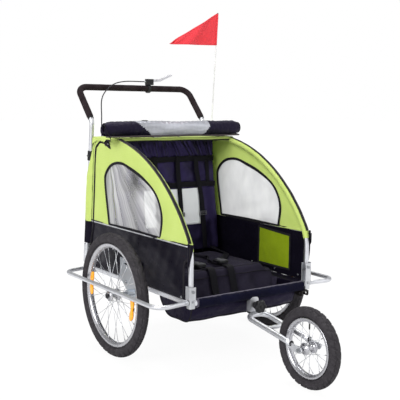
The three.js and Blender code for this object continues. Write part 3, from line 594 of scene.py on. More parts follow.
def foam_finish():
    """Closed-cell foam: small pores and a slightly matted skin."""
    g = Graph("foam_grip")
    cells = g.nodes.new("ShaderNodeTexVoronoi")
    cells.inputs["Scale"].default_value = 420
    g.link(g.coords, cells.inputs["Vector"])
    base = g.mix(g.span(g.noise(30, 4), 0.3, 0.7), (0.016, 0.010, 0.012), (0.032, 0.024, 0.027))
    pores = g.span(cells.outputs["Distance"], 0, 0.6, 0.4, 0)
    g.set("Base Color", g.mix(pores, base, (0.01, 0.008, 0.009)))
    g.set("Roughness", 0.95)
    g.set("Specular IOR Level", 0.12)
    g.bump(cells.outputs["Distance"], 0.5)
    g.bump(g.noise(120, 3), 0.6)
    return g.material


def lens_finish():
    """Prismatic amber reflector, given a faint painted glow by emission."""
    g = Graph("amber_lens")
    prisms = g.math("MULTIPLY", g.stripes(1, 2.4), g.stripes(2, 2.4))
    g.set("Base Color", g.mix(prisms, (0.95, 0.34, 0.0), (1.0, 0.52, 0.01)))
    g.set("Roughness", 0.14)
    g.set("Coat Weight", 0.8)
    # Emission: painted glow, standing in for the light the reflector sends back.
    g.set("Emission Color", (1.0, 0.40, 0.0, 1.0))
    g.set("Emission Strength", 0.25)
    g.bump(prisms, 0.5)
    return g.material


LIME = (0.67, 0.81, 0.24)
LIME_SHADE = (0.61, 0.76, 0.19)
INK = (0.0065, 0.0050, 0.0125)
INK_SHADE = (0.0035, 0.0027, 0.0070)
SILVER = metal("silver_tube", (0.74, 0.75, 0.79), 0.36)
CAST = metal("cast_alloy", (0.64, 0.65, 0.68), 0.42, cast=0.25)
POLISHED = metal("polished_alloy", (0.54, 0.54, 0.57), 0.26)
SPOKE = metal("spoke_wire", (0.66, 0.67, 0.70), 0.34)
ZINC = metal("zinc_sheet", (0.56, 0.60, 0.65), 0.45)
STEEL = metal("zinc_steel", (0.36, 0.37, 0.39), 0.38)
BLACK_STEEL = moulded("black_steel", (0.012, 0.010, 0.010), 0.45, metallic=0.2)
PLASTIC = moulded("black_plastic", (0.008, 0.008, 0.010), 0.42)
GREY_PLASTIC = moulded("grey_plastic", (0.10, 0.10, 0.11), 0.4)
POLE_WHITE = moulded("white_glassfibre", (0.72, 0.72, 0.71), 0.35, grain=0.05, scratch=0.1)
RUBBER = rubber_finish()
FOAM = foam_finish()
AMBER = lens_finish()
GREEN_SIDE = cloth("lime_cloth_side", LIME, LIME_SHADE, (Y, Z), through=0.18, ripstop=7.0)
GREEN_ROOF = cloth("lime_cloth_roof", LIME, LIME_SHADE, (X, Y), through=0.12, ripstop=7.0)
GREEN_REAR = cloth("lime_cloth_rear", LIME, LIME_SHADE, (X, Z), through=0.12, ripstop=7.0)
# Pocket cloth: the lime darkened to olive, painted shade for the dim inside of the left wall.
SHADED_POCKET_CLOTH = cloth("lime_cloth_pocket_painted_shade", (0.25, 0.34, 0.008), (0.20, 0.28, 0.004), (Y, Z), ripstop=7.0,
                     shine=0.1)
BLACK_TOP = cloth("black_cloth_top", INK, INK_SHADE, (X, Y), sheen=0.0, rough=0.5, shine=0.3, crumple=3.0,
                  hue=(0.6, 0.5, 1.0))
BLACK_FRONT = cloth("black_cloth_front", INK, INK_SHADE, (X, Z), sheen=0.0, shine=0.1)
BLACK_SIDE = cloth("black_cloth_side", INK, INK_SHADE, (Y, Z), sheen=0.0, shine=0.1)
SEAT_CLOTH = cloth("seat_cloth", (0.028, 0.024, 0.043), (0.018, 0.015, 0.028), (X, Y), pitch=1.4,
                   weave=0.25, sheen=0.02, shine=0.12)
NAVY = (0.42, 0.32, 1.0)
BACK_CLOTH = cloth("back_cloth", (0.0120, 0.0095, 0.0270), (0.0055, 0.0042, 0.0125), (X, Z), pitch=1.2,
                   rough=0.36, weave=0.06, sheen=0.0, shine=0.7, hue=NAVY)
WELL_CLOTH = cloth("well_cloth", (0.0060, 0.0048, 0.0100), (0.0034, 0.0028, 0.0058), (X, Z), pitch=1.3,
                   rough=0.5, shine=0.3, crumple=3.0, sheen=0.0, hue=NAVY)
COATED = cloth("coated_side_cloth", (0.0062, 0.0052, 0.0105), (0.0040, 0.0033, 0.0070), (Y, Z), rough=0.34,
               shine=0.12, crumple=0.7, weave=0.05, sheen=0.0, hue=(0.75, 0.7, 1.0))
PAD_CLOTH = cloth("bar_pad_cloth", (0.100, 0.092, 0.128), (0.078, 0.070, 0.100), (X, Z), pitch=1.5,
                  weave=0.25, shine=0.2)
FUZZ = cloth("hook_strip", (0.0055, 0.0055, 0.0230), (0.0030, 0.0030, 0.0120), (X, Z), pitch=2.6, weave=1.0,
             rough=1.0, crumple=1.0, sheen=0.04, shine=0.06)
RED_CLOTH = cloth("red_nylon", (1.0, 0.080, 0.110), (0.94, 0.060, 0.080), (X, Z), through=0.35, crumple=4.0,
                  shine=0.5, rough=0.5)
PATCH = cloth("blank_satin_patch", (0.95, 0.97, 1.0), (0.92, 0.94, 0.98), (X, Z), rough=0.5, weave=0.08,
              crumple=0.6)
STRAP_X = webbing_finish("webbing_along_x", (0.0045, 0.0040, 0.0070), X)
STRAP_Y = webbing_finish("webbing_along_y", (0.0045, 0.0040, 0.0070), Y)
STRAP_Z = webbing_finish("webbing_along_z", (0.0045, 0.0040, 0.0070), Z)
PIPING = cloth("black_piping", (0.0100, 0.0085, 0.0125), (0.0065, 0.0055, 0.0085), (Y, Z), pitch=1.8,
               weave=0.4, sheen=0.02, shine=0.25)
REFLECTIVE = moulded("reflective_piping", (0.50, 0.51, 0.54), 0.35, metallic=0.35, scratch=0.1)
TAPE = cloth("front_tape_cloth", (0.010, 0.009, 0.013), (0.006, 0.005, 0.009), (Y, Z), pitch=1.3, weave=0.3)
# Grey cord: a real cord. Its grey along the front tape and on the roll's bottom piping is a painted highlight
# on black.
CORD_AND_HIGHLIGHT = cloth("grey_cord_and_painted_highlight", (0.085, 0.070, 0.070), (0.060, 0.048, 0.050), (X, Z), pitch=1.2, weave=0.3)
THREAD = cloth("sewing_thread", (0.016, 0.014, 0.020), (0.010, 0.009, 0.014), (X, Z), pitch=0.8)
PALE_THREAD = cloth("lime_thread", (0.55, 0.68, 0.20), (0.45, 0.58, 0.15), (Y, Z), pitch=0.8)
# Film colours are painted light. The right window's pale body is painted reflection of the studio, thinned
# round CLEAR_SPOT. The left window's near-opaque white is painted light from the white background shining
# through. The roll's grey is painted reflection off its rolled layers.
FAN_CENTRE = ((230 + AXLE_Y) * MM, 850 * MM)
CLEAR_SPOT = (AXLE_Y * MM, 712 * MM)
WINDOW_RIGHT = clear_film("clear_film_right", (0.96, 0.96, 1.0), 0.31, 0.60, (1.6, 0.6, 1.0), FAN_CENTRE,
                          CLEAR_SPOT)
WINDOW_LEFT = clear_film("clear_film_left", (0.93, 0.95, 1.0), 0.80, 0.86, (1, 0.3, 0.15))
ROLL_FILM = clear_film("clear_film_roll", (0.43, 0.44, 0.49), 0.97, 1.0, (0.35, 2.4, 2.4))

SLOTS = {
    "silver_tube": (SILVER, CAST, POLISHED, REFLECTIVE),
    "steel": (STEEL, SPOKE),
    "plastic": (PLASTIC, GREY_PLASTIC),
    "pole": (POLE_WHITE, PATCH),
    "tyre": (RUBBER,),
    "foam": (FOAM,),
    "amber": (AMBER,),
    "vinyl": (WINDOW_RIGHT, WINDOW_LEFT),
    "green_fabric": (GREEN_SIDE, GREEN_ROOF, GREEN_REAR, SHADED_POCKET_CLOTH, PALE_THREAD),
    "coated_fabric": (COATED,),
    "red_fabric": (RED_CLOTH,),
    "black_fabric": (BLACK_TOP, BLACK_FRONT, BLACK_SIDE, SEAT_CLOTH, BACK_CLOTH, WELL_CLOTH, PAD_CLOTH, FUZZ,
                     STRAP_X, STRAP_Y, STRAP_Z, PIPING, TAPE, CORD_AND_HIGHLIGHT, THREAD, ROLL_FILM),
}
SLOT_OF = {finish.name: slot for slot, group in SLOTS.items() for finish in group}


def dress(node, finish, bevel=0.7):
    """A carried-over CAD node: its finish, and softened edges."""
    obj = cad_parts[node]
    for place in obj.material_slots:
        place.material = finish
    weld = obj.modifiers.new("weld", "WELD")
    weld.merge_threshold = 1e-5
    cut = obj.modifiers.new("edges", "BEVEL")
    cut.width, cut.segments, cut.limit_method = bevel * MM, 2, "ANGLE"
    cut.angle_limit = math.radians(NODE_EDGE_ANGLE)


# ---------------------------------------------------------------- base frame and hardware


def hex_bolt(at, axis, radius=6.0, height=4.0, out=1):
    """Hex head with a washer, standing on a face and pointing along out."""
    washer = drum(radius * 1.35, 0, out * 1.2, 24, at, axis)
    head = lathe([(CORE, out * 1.2), (radius, out * 1.2), (radius, out * (height + 0.2)),
                  (radius * 0.85, out * (height + 1.0)), (CORE, out * (height + 1.0))], 6, at, axis)
    return merge(washer, head)


def base_frame():
    rails = []
    for _, s in SIDES:
        path = dense([(s * RAIL_X, FRONT_Y + 6, FRAME_Z), (s * RAIL_X, REAR_Y - 6, FRAME_Z)], 40)
        rails.append(sweep(path, band(20, 20, 3.2), side=(1, 0, 0)))
    for y, radius in ((FRONT_Y, 11), (REAR_Y, 11), (-170, 9.5)):
        rails.append(tube(dense([(-RAIL_X, y, FRAME_Z), (RAIL_X, y, FRAME_Z)], 60), radius, 28))
    build("frame_rails", merge(*rails), SILVER, node="base_frame")
    corners, bolts = [], []
    for _, s in SIDES:
        for y, end in ((FRONT_Y, -1), (REAR_Y, 1)):
            corners.append(block((s * RAIL_X - 12, y - 12, 262), (s * RAIL_X + 12, y + 12, 296)))
            bolts.append(hex_bolt((s * RAIL_X, y + end * 12, 289), Y, 3.6, 2.4, end))
    build("corner_castings", merge(*corners), CAST, bevel=2.6)
    build("corner_bolts", merge(*bolts), STEEL, bevel=0.3)
    plate = prism([(-15, 281), (-15, 223), (-9, 216), (9, 216), (15, 223), (15, 281)], -396, -391, Y)
    build("arm_receiver", plate, CAST, bevel=1.2)
    plugs = [mirrored(drum(9.6, 300.2, 302.8, 24, (0, y, GUARD_Z)), s) for y in (FRONT_Y, REAR_Y)
             for _, s in SIDES]
    build("guard_end_seals", merge(*plugs), PLASTIC)


def wheel_guard(side, s):
    start = RAIL_X + 15
    corners = [(s * x, y, GUARD_Z) for x, y in ((start, FRONT_Y), (443, -400), (443, 350), (start, REAR_Y))]
    path = dense(bent(corners, 50, 12), 30)
    build(f"guard_tube_{side}", tube(path, 8.5, 24), SILVER, node=f"wheel_guard_{side}")
    ends = [tube(dense([(s * start, y, GUARD_Z), (s * (start + 9), y + lean, GUARD_Z)], 4), 9.6, 24)
            for y, lean in ((FRONT_Y, -1.2), (REAR_Y, -2.1))]
    build(f"guard_collars_{side}", merge(*ends), CAST, bevel=0.6)


def axle_plate(side, s):
    dress(f"axle_plate_{side}", ZINC, 0.5)
    dress(f"wheel_axle_{side}", STEEL, 0.3)
    bolts = [hex_bolt((s * 310, y, 281), X, 5.5, 4, s) for y in (-28, 58)]
    build(f"axle_plate_bolts_{side}", merge(*bolts), STEEL, bevel=0.4)
    cap = [(CORE, 428.5), (10.6, 428.5), (11.4, 429.4), (11.4, 431.4), (10.0, 433.2), (6.0, 433.9),
           (5.4, 433.2), (CORE, 433.2)]
    middle = (0, 0, AXLE_Z)
    shape = mirrored(merge(lathe(cap, 32, middle), drum(3.8, WHEEL_X, 428.6, 16, middle)), s)
    build(f"hub_button_{side}", shape, PLASTIC, f"button_{side}", f"release_button_{side}")


def front_channel(side, s):
    """Folded channel that the front foot of an arch is pinned in."""
    low, high, wall = 296.3, HINGE_Z[side] + 20, 2.4
    near, far, half = 274.5, 303.5, 13.4
    web = block((s * (far - wall), FRONT_Y - half, low), (s * far, FRONT_Y + half, high))
    cheeks = [block((s * near, FRONT_Y + e * half - (wall if e > 0 else 0), low),
                    (s * (far - wall), FRONT_Y + e * half + (0 if e > 0 else wall), high - 3))
              for e in (-1, 1)]
    sole = block((s * near, FRONT_Y - half + wall, low),
                 (s * (far - wall), FRONT_Y + half - wall, low + wall))
    build(f"front_channel_{side}", merge(web, *cheeks, sole), CAST, node=f"front_hinge_channel_{side}",
          bevel=0.8)


def small_hardware():
    for side, s in SIDES:
        front_channel(side, s)
        dress(f"rear_hinge_channel_{side}", CAST, 0.8)
        for node in ("hinge_pin_front", "hinge_pin_rear"):
            dress(f"{node}_{side}", STEEL, 0.6)
    dress("tow_bracket", BLACK_STEEL, 0.8)
    dress("arm_bracket", CAST, 1.2)
    dress("front_axle", STEEL, 0.5)
    dress("lever_clamp", PLASTIC, 1.0)
    dress("brake_lever", POLISHED, 1.2)
    dress("flag_holder", PLASTIC, 0.8)


# ---------------------------------------------------------------- wheels


def tyre_shape(centre, radius, rim, half_width, blocks):
    """Tyre with a block tread cut in a V round a centre rib, and ribbed side walls."""
    around = blocks * 10
    mid, height = (radius + rim) / 2 + 0.6, (radius - rim) / 2 - 0.6
    tread = np.radians(np.linspace(-72, 72, 37))
    wall = np.radians(np.array([80, 88, 94, 97, 100, 108, 116, 124, 128, 132, 140, 148]))
    a = np.concatenate([-wall[::-1], tread, wall])
    t = TAU * np.arange(around) / around
    aa, tt = np.meshgrid(a, t)
    depth = np.abs(aa) / math.radians(72)
    phase = (tt * blocks / TAU + 0.55 * depth + np.where(aa > 0, 0.5, 0.0)) % 1.0
    groove = ((phase < 0.25) & (depth > 0.13) & (depth < 1.0)) | (np.abs(depth - 0.42) < 0.05)
    cut = np.where(groove & (np.abs(aa) < math.radians(73)), 4.0, 0.0)
    ridge = 0.7 * (np.abs(np.degrees(np.abs(aa)) - 97) < 2) + 0.8 * (np.abs(np.degrees(np.abs(aa)) - 128) < 2)
    swell = height + ridge - cut
    r = mid + swell * np.cos(aa)
    x = (half_width + ridge - cut * 0.6) * np.sin(aa)
    inner = np.stack([np.full(around, rim + 1.0), np.full(around, half_width * 0.35)], 1)
    rings = np.zeros((around, len(a) + 2, 3))
    rings[:, :-2, 0] = x
    rings[:, :-2, 1] = r * np.cos(tt)
    rings[:, :-2, 2] = r * np.sin(tt)
    for k, sign in ((-2, 1), (-1, -1)):
        rings[:, k, 0] = sign * inner[:, 1]
        rings[:, k, 1] = inner[:, 0] * np.cos(t)
        rings[:, k, 2] = inner[:, 0] * np.sin(t)
    verts, faces = lattice(rings, True, True)
    return verts + np.array(centre, float), faces


def rim_shape(centre, outer, inner, sides):
    half = [(-1.0, 11.0), (2.0, 12.0), (2.0, 13.4), (-1.5, 13.9)]
    k = (outer - inner) / 17.0
    section = [(outer + dr, x) for dr, x in half]
    section += [(inner + 7 * k, 12.6), (inner + 2 * k, 8.0), (inner, 3.0)]
    other = [(r, -x) for r, x in reversed(section)]
    well = [(outer - 8 * k, -8.0), (outer - 8 * k, 8.0)]
    return lathe(section + other + well, sides, centre)


def hub_shape(centre, flange, offset, barrel, bore, half):
    disc = flange + 3.5
    right = [(bore, half), (barrel - 1.5, half), (barrel - 0.5, half - 1), (barrel - 0.5, offset + 3.2),
             (disc - 1, offset + 2.4), (disc, offset + 1.6), (disc, offset - 1.6), (disc - 1, offset - 2.4),
             (barrel + 1, offset - 3.4), (barrel - 2.5, offset - 9)]
    left = [(r, -x) for r, x in reversed(right)]
    return lathe(right + left, 40, centre)


def spoke_shapes(centre, rim_inner, flange, offset, count):
    """Crossed spokes with a nipple at the rim, plus the valve."""
    centre = np.array(centre, float)
    wires, nipples = [], []
    for i in range(count):
        at_rim = TAU * i / count
        flange_x = offset if i % 2 else -offset
        lead = 1 if (i >> 1) % 2 else -1
        at_hub = at_rim + lead * math.radians(62)
        hub = np.array([flange_x + lead * 1.8, flange * math.cos(at_hub), flange * math.sin(at_hub)])
        seat = rim_inner + 1.5
        rim = np.array([flange_x * 0.15 + lead * 1.8, seat * math.cos(at_rim), seat * math.sin(at_rim)])
        wires.append(tube(np.array([hub, rim]) + centre, 1.0, 8))
        along = unit(rim - hub)
        nipples.append(tube(np.array([rim - along * 12, rim - along * 2, rim]) + centre, 2.1, 10,
                            scale=[0.75, 1.0, 1.25]))
    valve = tube(np.array([(0, 0, rim_inner - 27), (0, 0, rim_inner - 22), (0, 0, rim_inner + 1)]) + centre,
                 3.0, 12, scale=[0.8, 1.0, 1.0])
    nut = drum(6, rim_inner - 3, rim_inner, 6, centre, Z)
    return merge(*wires), merge(*nipples, nut), valve


def reflector_shape(centre, middle, outward):
    """Two-lobed lens outside the spokes, following the rim."""
    span, path_radius, rows, cols = math.radians(17), 167, 45, 9
    t = np.linspace(-1, 1, rows)
    lobes = 11.5 * np.sqrt(np.clip(1 - (np.abs(t) - 0.52) ** 2 / 0.24, 0.0, 1)) + 0.2
    lobes = np.maximum(lobes, np.where(np.abs(t) < 0.25, 6.5, 0.2))
    q = np.linspace(-1, 1, cols)
    tt, qq = np.meshgrid(t, q, indexing="ij")
    r = path_radius + qq * lobes[:, None]
    angle = middle + tt * span
    dome = 3.0 * (1 - qq**2) * np.sqrt(np.clip(1 - tt**4, 0, 1))
    top = np.stack([outward * (15.2 + dome), r * np.cos(angle), r * np.sin(angle)], 2)
    bottom = np.stack([np.full_like(r, outward * 9.2), r * np.cos(angle), r * np.sin(angle)], 2)
    ring = np.concatenate([top, bottom[:, ::-1]], 1)
    verts, faces = lattice(ring, False, True)
    m = ring.shape[1]
    faces += [tuple(range(m - 1, -1, -1)), tuple(range((rows - 1) * m, rows * m))]
    return verts + np.array(centre, float), faces


REAR_WHEEL = {"radius": 250, "rim": 207, "rim_inner": 190, "half_width": 23.0, "blocks": 40, "rim_sides": 144,
              "spokes": 28, "flange": 21, "offset": 18, "barrel": 13, "bore": 7.4, "hub_half": 24}
FRONT_WHEEL = {"radius": 150, "rim": 109, "rim_inner": 95, "half_width": 22.0, "blocks": 28, "rim_sides": 112,
               "spokes": 20, "flange": 19, "offset": 20, "barrel": 11, "bore": 5.9, "hub_half": 32}


def wheel(tag, body, centre, size, tyre_node, wheel_node):
    def made(shape, *keys):
        return shape(centre, *(size[key] for key in keys))

    tyre = made(tyre_shape, "radius", "rim", "half_width", "blocks")
    rim = made(rim_shape, "rim", "rim_inner", "rim_sides")
    hub = made(hub_shape, "flange", "offset", "barrel", "bore", "hub_half")
    wires, nipples, valve = made(spoke_shapes, "rim_inner", "flange", "offset", "spokes")
    build(f"tyre_{tag}", tyre, RUBBER, body, tyre_node)
    build(f"rim_{tag}", rim, POLISHED, body, wheel_node)
    build(f"hub_{tag}", hub, POLISHED, body)
    build(f"spokes_{tag}", wires, SPOKE, body)
    build(f"nipples_{tag}", nipples, POLISHED, body, slot="steel")
    build(f"valve_{tag}", valve, PLASTIC, body)


def wheels():
    for side, s in SIDES:
        centre = (s * WHEEL_X, 0, AXLE_Z)
        body = f"wheel_{side}"
        wheel(f"rear_{side}", body, centre, REAR_WHEEL, f"rear_tyre_{side}", f"rear_wheel_{side}")
        for where, degrees in (("front", 187), ("rear", 7)):
            middle = math.radians(degrees)
            lens = reflector_shape(centre, middle, s)
            build(f"lens_{where}_{side}", lens, AMBER, body, f"reflector_{where}_{side}")
            near, far = sorted((s * WHEEL_X + s * 5.5, s * WHEEL_X + s * 9.4))
            clip = block((near, -6, AXLE_Z + 160), (far, 6, AXLE_Z + 174))
            clip = turned(clip, middle - math.pi / 2, X, centre)
            build(f"lens_clip_{where}_{side}", clip, PLASTIC, body, bevel=0.8)
    wheel("front", "front_wheel", FRONT_AXLE, FRONT_WHEEL, "front_tyre", "front_wheel")


# ---------------------------------------------------------------- jogger arm


def jogger_arm():
    half, brace_y, (end_y, end_z), (bend_y, bend_z) = 45, -529, (-664, 163), (-406, 203)
    brace_z = end_z + (bend_z - end_z) / (bend_y - end_y) * (brace_y - end_y)
    corners = [(-half, end_y, end_z), (-half, bend_y, bend_z), (half, bend_y, bend_z), (half, end_y, end_z)]
    brace = tube(dense([(-half, brace_y, brace_z), (half, brace_y, brace_z)], 15), 8, 24)
    frame_tubes = merge(tube(dense(bent(corners, 36, 12), 25), 10.5, 28), brace)
    build("fork_tubes", frame_tubes, SILVER, "jogger_arm", "jogger_fork")
    beads = [lathe([(8.2, s * 33.0), (9.6, s * 34.2), (8.6, s * 36.5), (8.0, s * 35.0)], 24,
                   (0, brace_y, brace_z), X) for s in SIGNS]
    outline = [(-640, 153), (-640, 173), (-690, 163), (-706, 163.5), (-718, 161), (-726, 150), (-718, 139),
               (-706, 136.5), (-690, 137)]
    plates = [prism(outline, *sorted((s * 44, s * 49))) for s in SIGNS]
    build("fork_dropouts", merge(*plates), CAST, "jogger_arm", bevel=1.2)
    build("fork_weld_beads", merge(*beads), CAST, "jogger_arm")
    plugs = [lathe([(CORE, 4), (9, 4), (10.6, 2), (10.6, 0), (CORE, 0)], 24, (s * 45, -667.5, 163), Y)
             for s in SIGNS]
    build("fork_end_plugs", merge(*plugs), PLASTIC, "jogger_arm")
    knob()


def knob():
    """Six-lobed hand knob with a dished face."""
    section = [(CORE, -425), (0.84, -425), (0.96, -427), (1.0, -431), (1.0, -440), (0.95, -444.5),
               (0.84, -446.8), (0.60, -446.8), (0.52, -445), (0.30, -445), (0.26, -446.2), (CORE, -446.2)]
    t = TAU * np.arange(96) / 96
    lobe = 0.90 + 0.10 * np.cos(6 * t)
    rings = np.zeros((96, len(section), 3))
    for j, (k, y) in enumerate(section):
        r = 26.5 * k * (lobe if k > 0.62 else 0.9)
        rings[:, j] = np.stack([r * np.cos(t), np.full(96, y), 241 + r * np.sin(t)], 1)
    verts, faces = lattice(rings, True, False)
    m = len(section)
    faces += [tuple(i * m for i in range(96)), tuple(i * m + m - 1 for i in range(96))]
    collar = lathe([(CORE, -403.4), (12.6, -403.4), (11.4, -416), (12.8, -425.5), (CORE, -425.5)], 32,
                   (0, 0, 241), Y)
    build("hand_knob", merge((verts, faces), collar), PLASTIC, "arm_knob", "arm_knob")
    bolt = lathe([(CORE, -403), (4, -403), (4, -388), (3.2, -387), (CORE, -387)], 20, (0, 0, 241), Y)
    build("hand_knob_bolt", bolt, STEEL, "arm_knob")


# ---------------------------------------------------------------- push handle


def handle_y(z):
    return 374.6 + 0.093 * (936.6 - z)


def push_handle():
    half = [(HANDLE_X, handle_y(318), 318), (HANDLE_X, 374.6, 936.6), (HANDLE_X, 512, 1086)]
    corners = [(-x, y, z) for x, y, z in half] + half[::-1]
    path = dense(bent(corners, 45, 14), 40)
    brace = tube(dense([(-HANDLE_X, handle_y(840), 840), (HANDLE_X, handle_y(840), 840)], 40), 7.5, 22)
    build("handle_bar", merge(tube(path, 10.6, 28), brace), SILVER, "push_handle", "handle_tube")
    grip_corners = [(-HANDLE_X, 388, 951), (-HANDLE_X, 512, 1086), (HANDLE_X, 512, 1086),
                    (HANDLE_X, 388, 951)]
    grip = dense(bent(grip_corners, 45, 14), 9)
    swell = 1 + 0.012 * waves(grip, 60, 5)
    swell[0] = swell[-1] = 0.9
    build("foam_grip", tube(grip, 14.5, 30, swell), FOAM, "push_handle", "handle_grip")
    along = unit(np.array([0, 124, 135.0]))
    rings = []
    for s in SIGNS:
        foot = np.array([s * HANDLE_X, 388, 951])
        rings.append(tube([foot - along * 7, foot - along * 6, foot + along * 1.5], 13.0, 28,
                          scale=[0.93, 1, 1]))
    build("grip_end_rings", merge(*rings), PLASTIC, "push_handle", bevel=0.4)
    clips = [tube(dense([(s * HANDLE_X, handle_y(z), z) for z in (763, 805)], 8), 14.2, 28) for s in SIGNS]
    build("handle_clips", merge(*clips), PLASTIC, "push_handle", bevel=1.0)
    pins = [tube([(s * x, handle_y(784), 784) for x in (311, 316)], 4.2, 18) for s in SIGNS]
    build("handle_clip_pins", merge(*pins), STEEL, "push_handle", bevel=0.6)
    route = [(56.6, 505, 1118), (-60, 506, 1116), (-140, 484, 1095), (-200, 462, 1040), (-224, 424, 950),
             (-230, 412, 860), (-232, 408, 700)]
    build("cable_housing", tube(spline(route, 14), 2.5, 14), PLASTIC, "push_handle", "brake_cable")
    ferrule = tube([(64, 505, 1118), (57, 505, 1118), (48, 505.2, 1118)], 4.0, 16, scale=[1, 1, 0.8])
    build("cable_ferrule", ferrule, STEEL, "push_handle")


# ---------------------------------------------------------------- side frames


def arch_line(hinge, offset=0.0, fine=5):
    """[y, z] points of an arch from its front foot to its rear foot, moved outwards by offset."""
    foot = hinge - 8
    stations = [(-380.4, foot, 90.0), (-380.4, 440.0, 90.0)]

    def arc(radius, start, end, steps):
        y0, z0, _ = stations[-1]
        for k in range(1, steps + 1):
            h = start + (end - start) * k / steps
            a, b = math.radians(start), math.radians(h)
            stations.append((y0 + radius * (math.sin(a) - math.sin(b)),
                             z0 + radius * (math.cos(b) - math.cos(a)), h))

    arc(156.2, 90, 58.1, 3 * fine)
    arc(718, 58.1, 13.3, 7 * fine)
    y, z, _ = stations[-1]
    a = math.radians(13.3)
    stations.append((y + 50 * math.cos(a), z + 50 * math.sin(a), 13.3))
    arc(150, 13.3, 0, 2 * fine)
    roof = stations[-1][1]
    down = -90 - math.degrees(math.atan2(345 - 384.6, roof - foot))
    setback = 55 * math.tan(math.radians(-down / 2))
    stations.append((345 - setback, roof, 0.0))
    arc(55, 0, down, 4 * fine)
    stations.append((384.6, foot, down))
    p = np.array(stations)
    h = np.radians(p[:, 2])
    return np.stack([p[:, 0] - offset * np.sin(h), p[:, 1] + offset * np.cos(h)], 1)


def summit(line):
    """Index of the last of the highest points."""
    return int(np.flatnonzero(line[:, 1] > line[:, 1].max() - 0.01)[-1])


def crossing(line, z, rear):
    """Where an arch line passes a height, at the front or the rear."""
    top = summit(line)
    part = line[top:] if rear else line[:top + 1]
    order = np.argsort(part[:, 1])
    return float(np.interp(z, part[order, 1], part[order, 0]))


def above(line, z_front, z_rear=None):
    """The stretch of an arch line above a height at the front and another at the rear."""
    z_rear = z_front if z_rear is None else z_rear
    top = summit(line)
    keep = np.concatenate([line[:top, 1] > z_front, line[top:, 1] > z_rear])
    front = (crossing(line, z_front, False), z_front)
    rear = (crossing(line, z_rear, True), z_rear)
    return np.vstack([[front], line[keep], [rear]])


WINDOW_KNOTS = [(215, 501), (249, 668), (241, 718), (190, 757), (115, 768), (40, 752), (-62, 719),
                (-154, 668), (-199, 592), (-191, 501)]
WINDOW_MIDDLE = (30.0, 640.0)


def window_line():
    return spline(WINDOW_KNOTS, 8)


def polar(outline_inner, outline_outer, rows, extra=()):
    """Angles and the (n, rows, 2) points between two closed outlines round the window's middle."""
    middle = np.array(WINDOW_MIDDLE)
    corners = [math.atan2(z - middle[1], y - middle[0]) for y, z in extra]
    angles = np.sort(np.concatenate([np.linspace(-math.pi, math.pi, 220, endpoint=False), corners]))
    r0 = radial(outline_inner, middle, angles) if outline_inner is not None else np.full(len(angles), 6.0)
    r1 = radial(outline_outer, middle, angles)
    t = np.linspace(0, 1, rows)
    r = r0[:, None] + (r1 - r0)[:, None] * t
    return angles, t, np.stack([middle[0] + r * np.cos(angles)[:, None],
                                middle[1] + r * np.sin(angles)[:, None]], 2)


def side_frame(side, s):
    body = f"side_{side}"
    hinge = HINGE_Z[side]
    line = arch_line(hinge)
    tube_path = dense([(s * RAIL_X, y, z) for y, z in line], 40)
    build(f"arch_tube_{side}", tube(tube_path, 10, 28), SILVER, body, f"side_arch_{side}")
    sleeve(side, s, body, line)
    upper_panel(side, s, body, hinge)
    window(side, s, body)
    lower_panel(side, s, body, hinge)
    edge_piping(side, s, body, hinge)
    front_tape(side, s, body, hinge)


def headings(line):
    """Outward normals of an arch line."""
    along = unit(np.gradient(line, axis=0))
    return np.stack([-along[:, 1], along[:, 0]], 1)


def front_tape(side, s, body, hinge):
    """Black tape down the front of each arch, where the front cover is fastened."""
    line = arch_line(hinge)
    top = summit(line)
    keep = np.array([p for p in line[:top + 1] if p[1] > 512 and p[0] < 152])
    path = dense(np.vstack([[(crossing(line, 500, False), 500.0)], keep]), 12)
    out = headings(path)
    angles = np.radians([-4, 0, 10, 20, 30, 40, 48, 52] if s < 0 else [-20, -16, -4, 12, 28, 42, 54, 58])
    lift = np.array([13.2, 13.9, 14.2, 14.3, 14.2, 14.1, 13.8, 13.2])
    wander = 0.5 * waves(np.column_stack([np.zeros(len(path)), path]), 60, 171 + s)
    points = np.zeros((len(path), len(angles), 3))
    points[..., 0] = s * (RAIL_X + (lift * np.sin(angles))[None, :])
    reach = (lift * np.cos(angles))[None, :] + wander[:, None]
    points[..., 1] = path[:, 0:1] + out[:, 0:1] * reach
    points[..., 2] = path[:, 1:2] + out[:, 1:2] * reach
    build(f"front_tape_{side}", points, TAPE, body, solid=THIN_CLOTH)
    # Grey cord along the tape: its grey is a painted highlight line on the black tape.
    highlight_cord = points[:, 5] + [s * 0.9, 0, 0]
    build(f"front_tape_cord_{side}", tube(highlight_cord, 1.7, 10), CORD_AND_HIGHLIGHT, body)
    seams = [stitches(points[:, k] + np.column_stack([np.zeros(len(path)), out * 1.3])) for k in (1, 4)]
    build(f"front_tape_stitching_{side}", merge(*seams), THREAD, body)


def sleeve(side, s, body, line):
    """Cloth channels sewn round the arch: lime above the belt, black below."""
    green = above(line, 474, BELT_Z)
    path = dense([(s * RAIL_X, y, z) for y, z in green], 12)
    puff = 1 + 0.035 * waves(path, 55, 11 + s) + 0.02 * waves(path, 19, 21 + s)
    build(f"arch_sleeve_{side}", tube(path, 12.4, 28, puff), GREEN_SIDE, body)
    low = HINGE_Z[side] + 24
    rear = [(s * RAIL_X, crossing(line, z, True), z) for z in (BELT_Z - 1, low)]
    path = dense(rear, 12)
    build(f"arch_sleeve_rear_{side}", tube(path, 12.4, 28, 1 + 0.03 * waves(path, 40, 31 + s)), BLACK_SIDE,
          body)


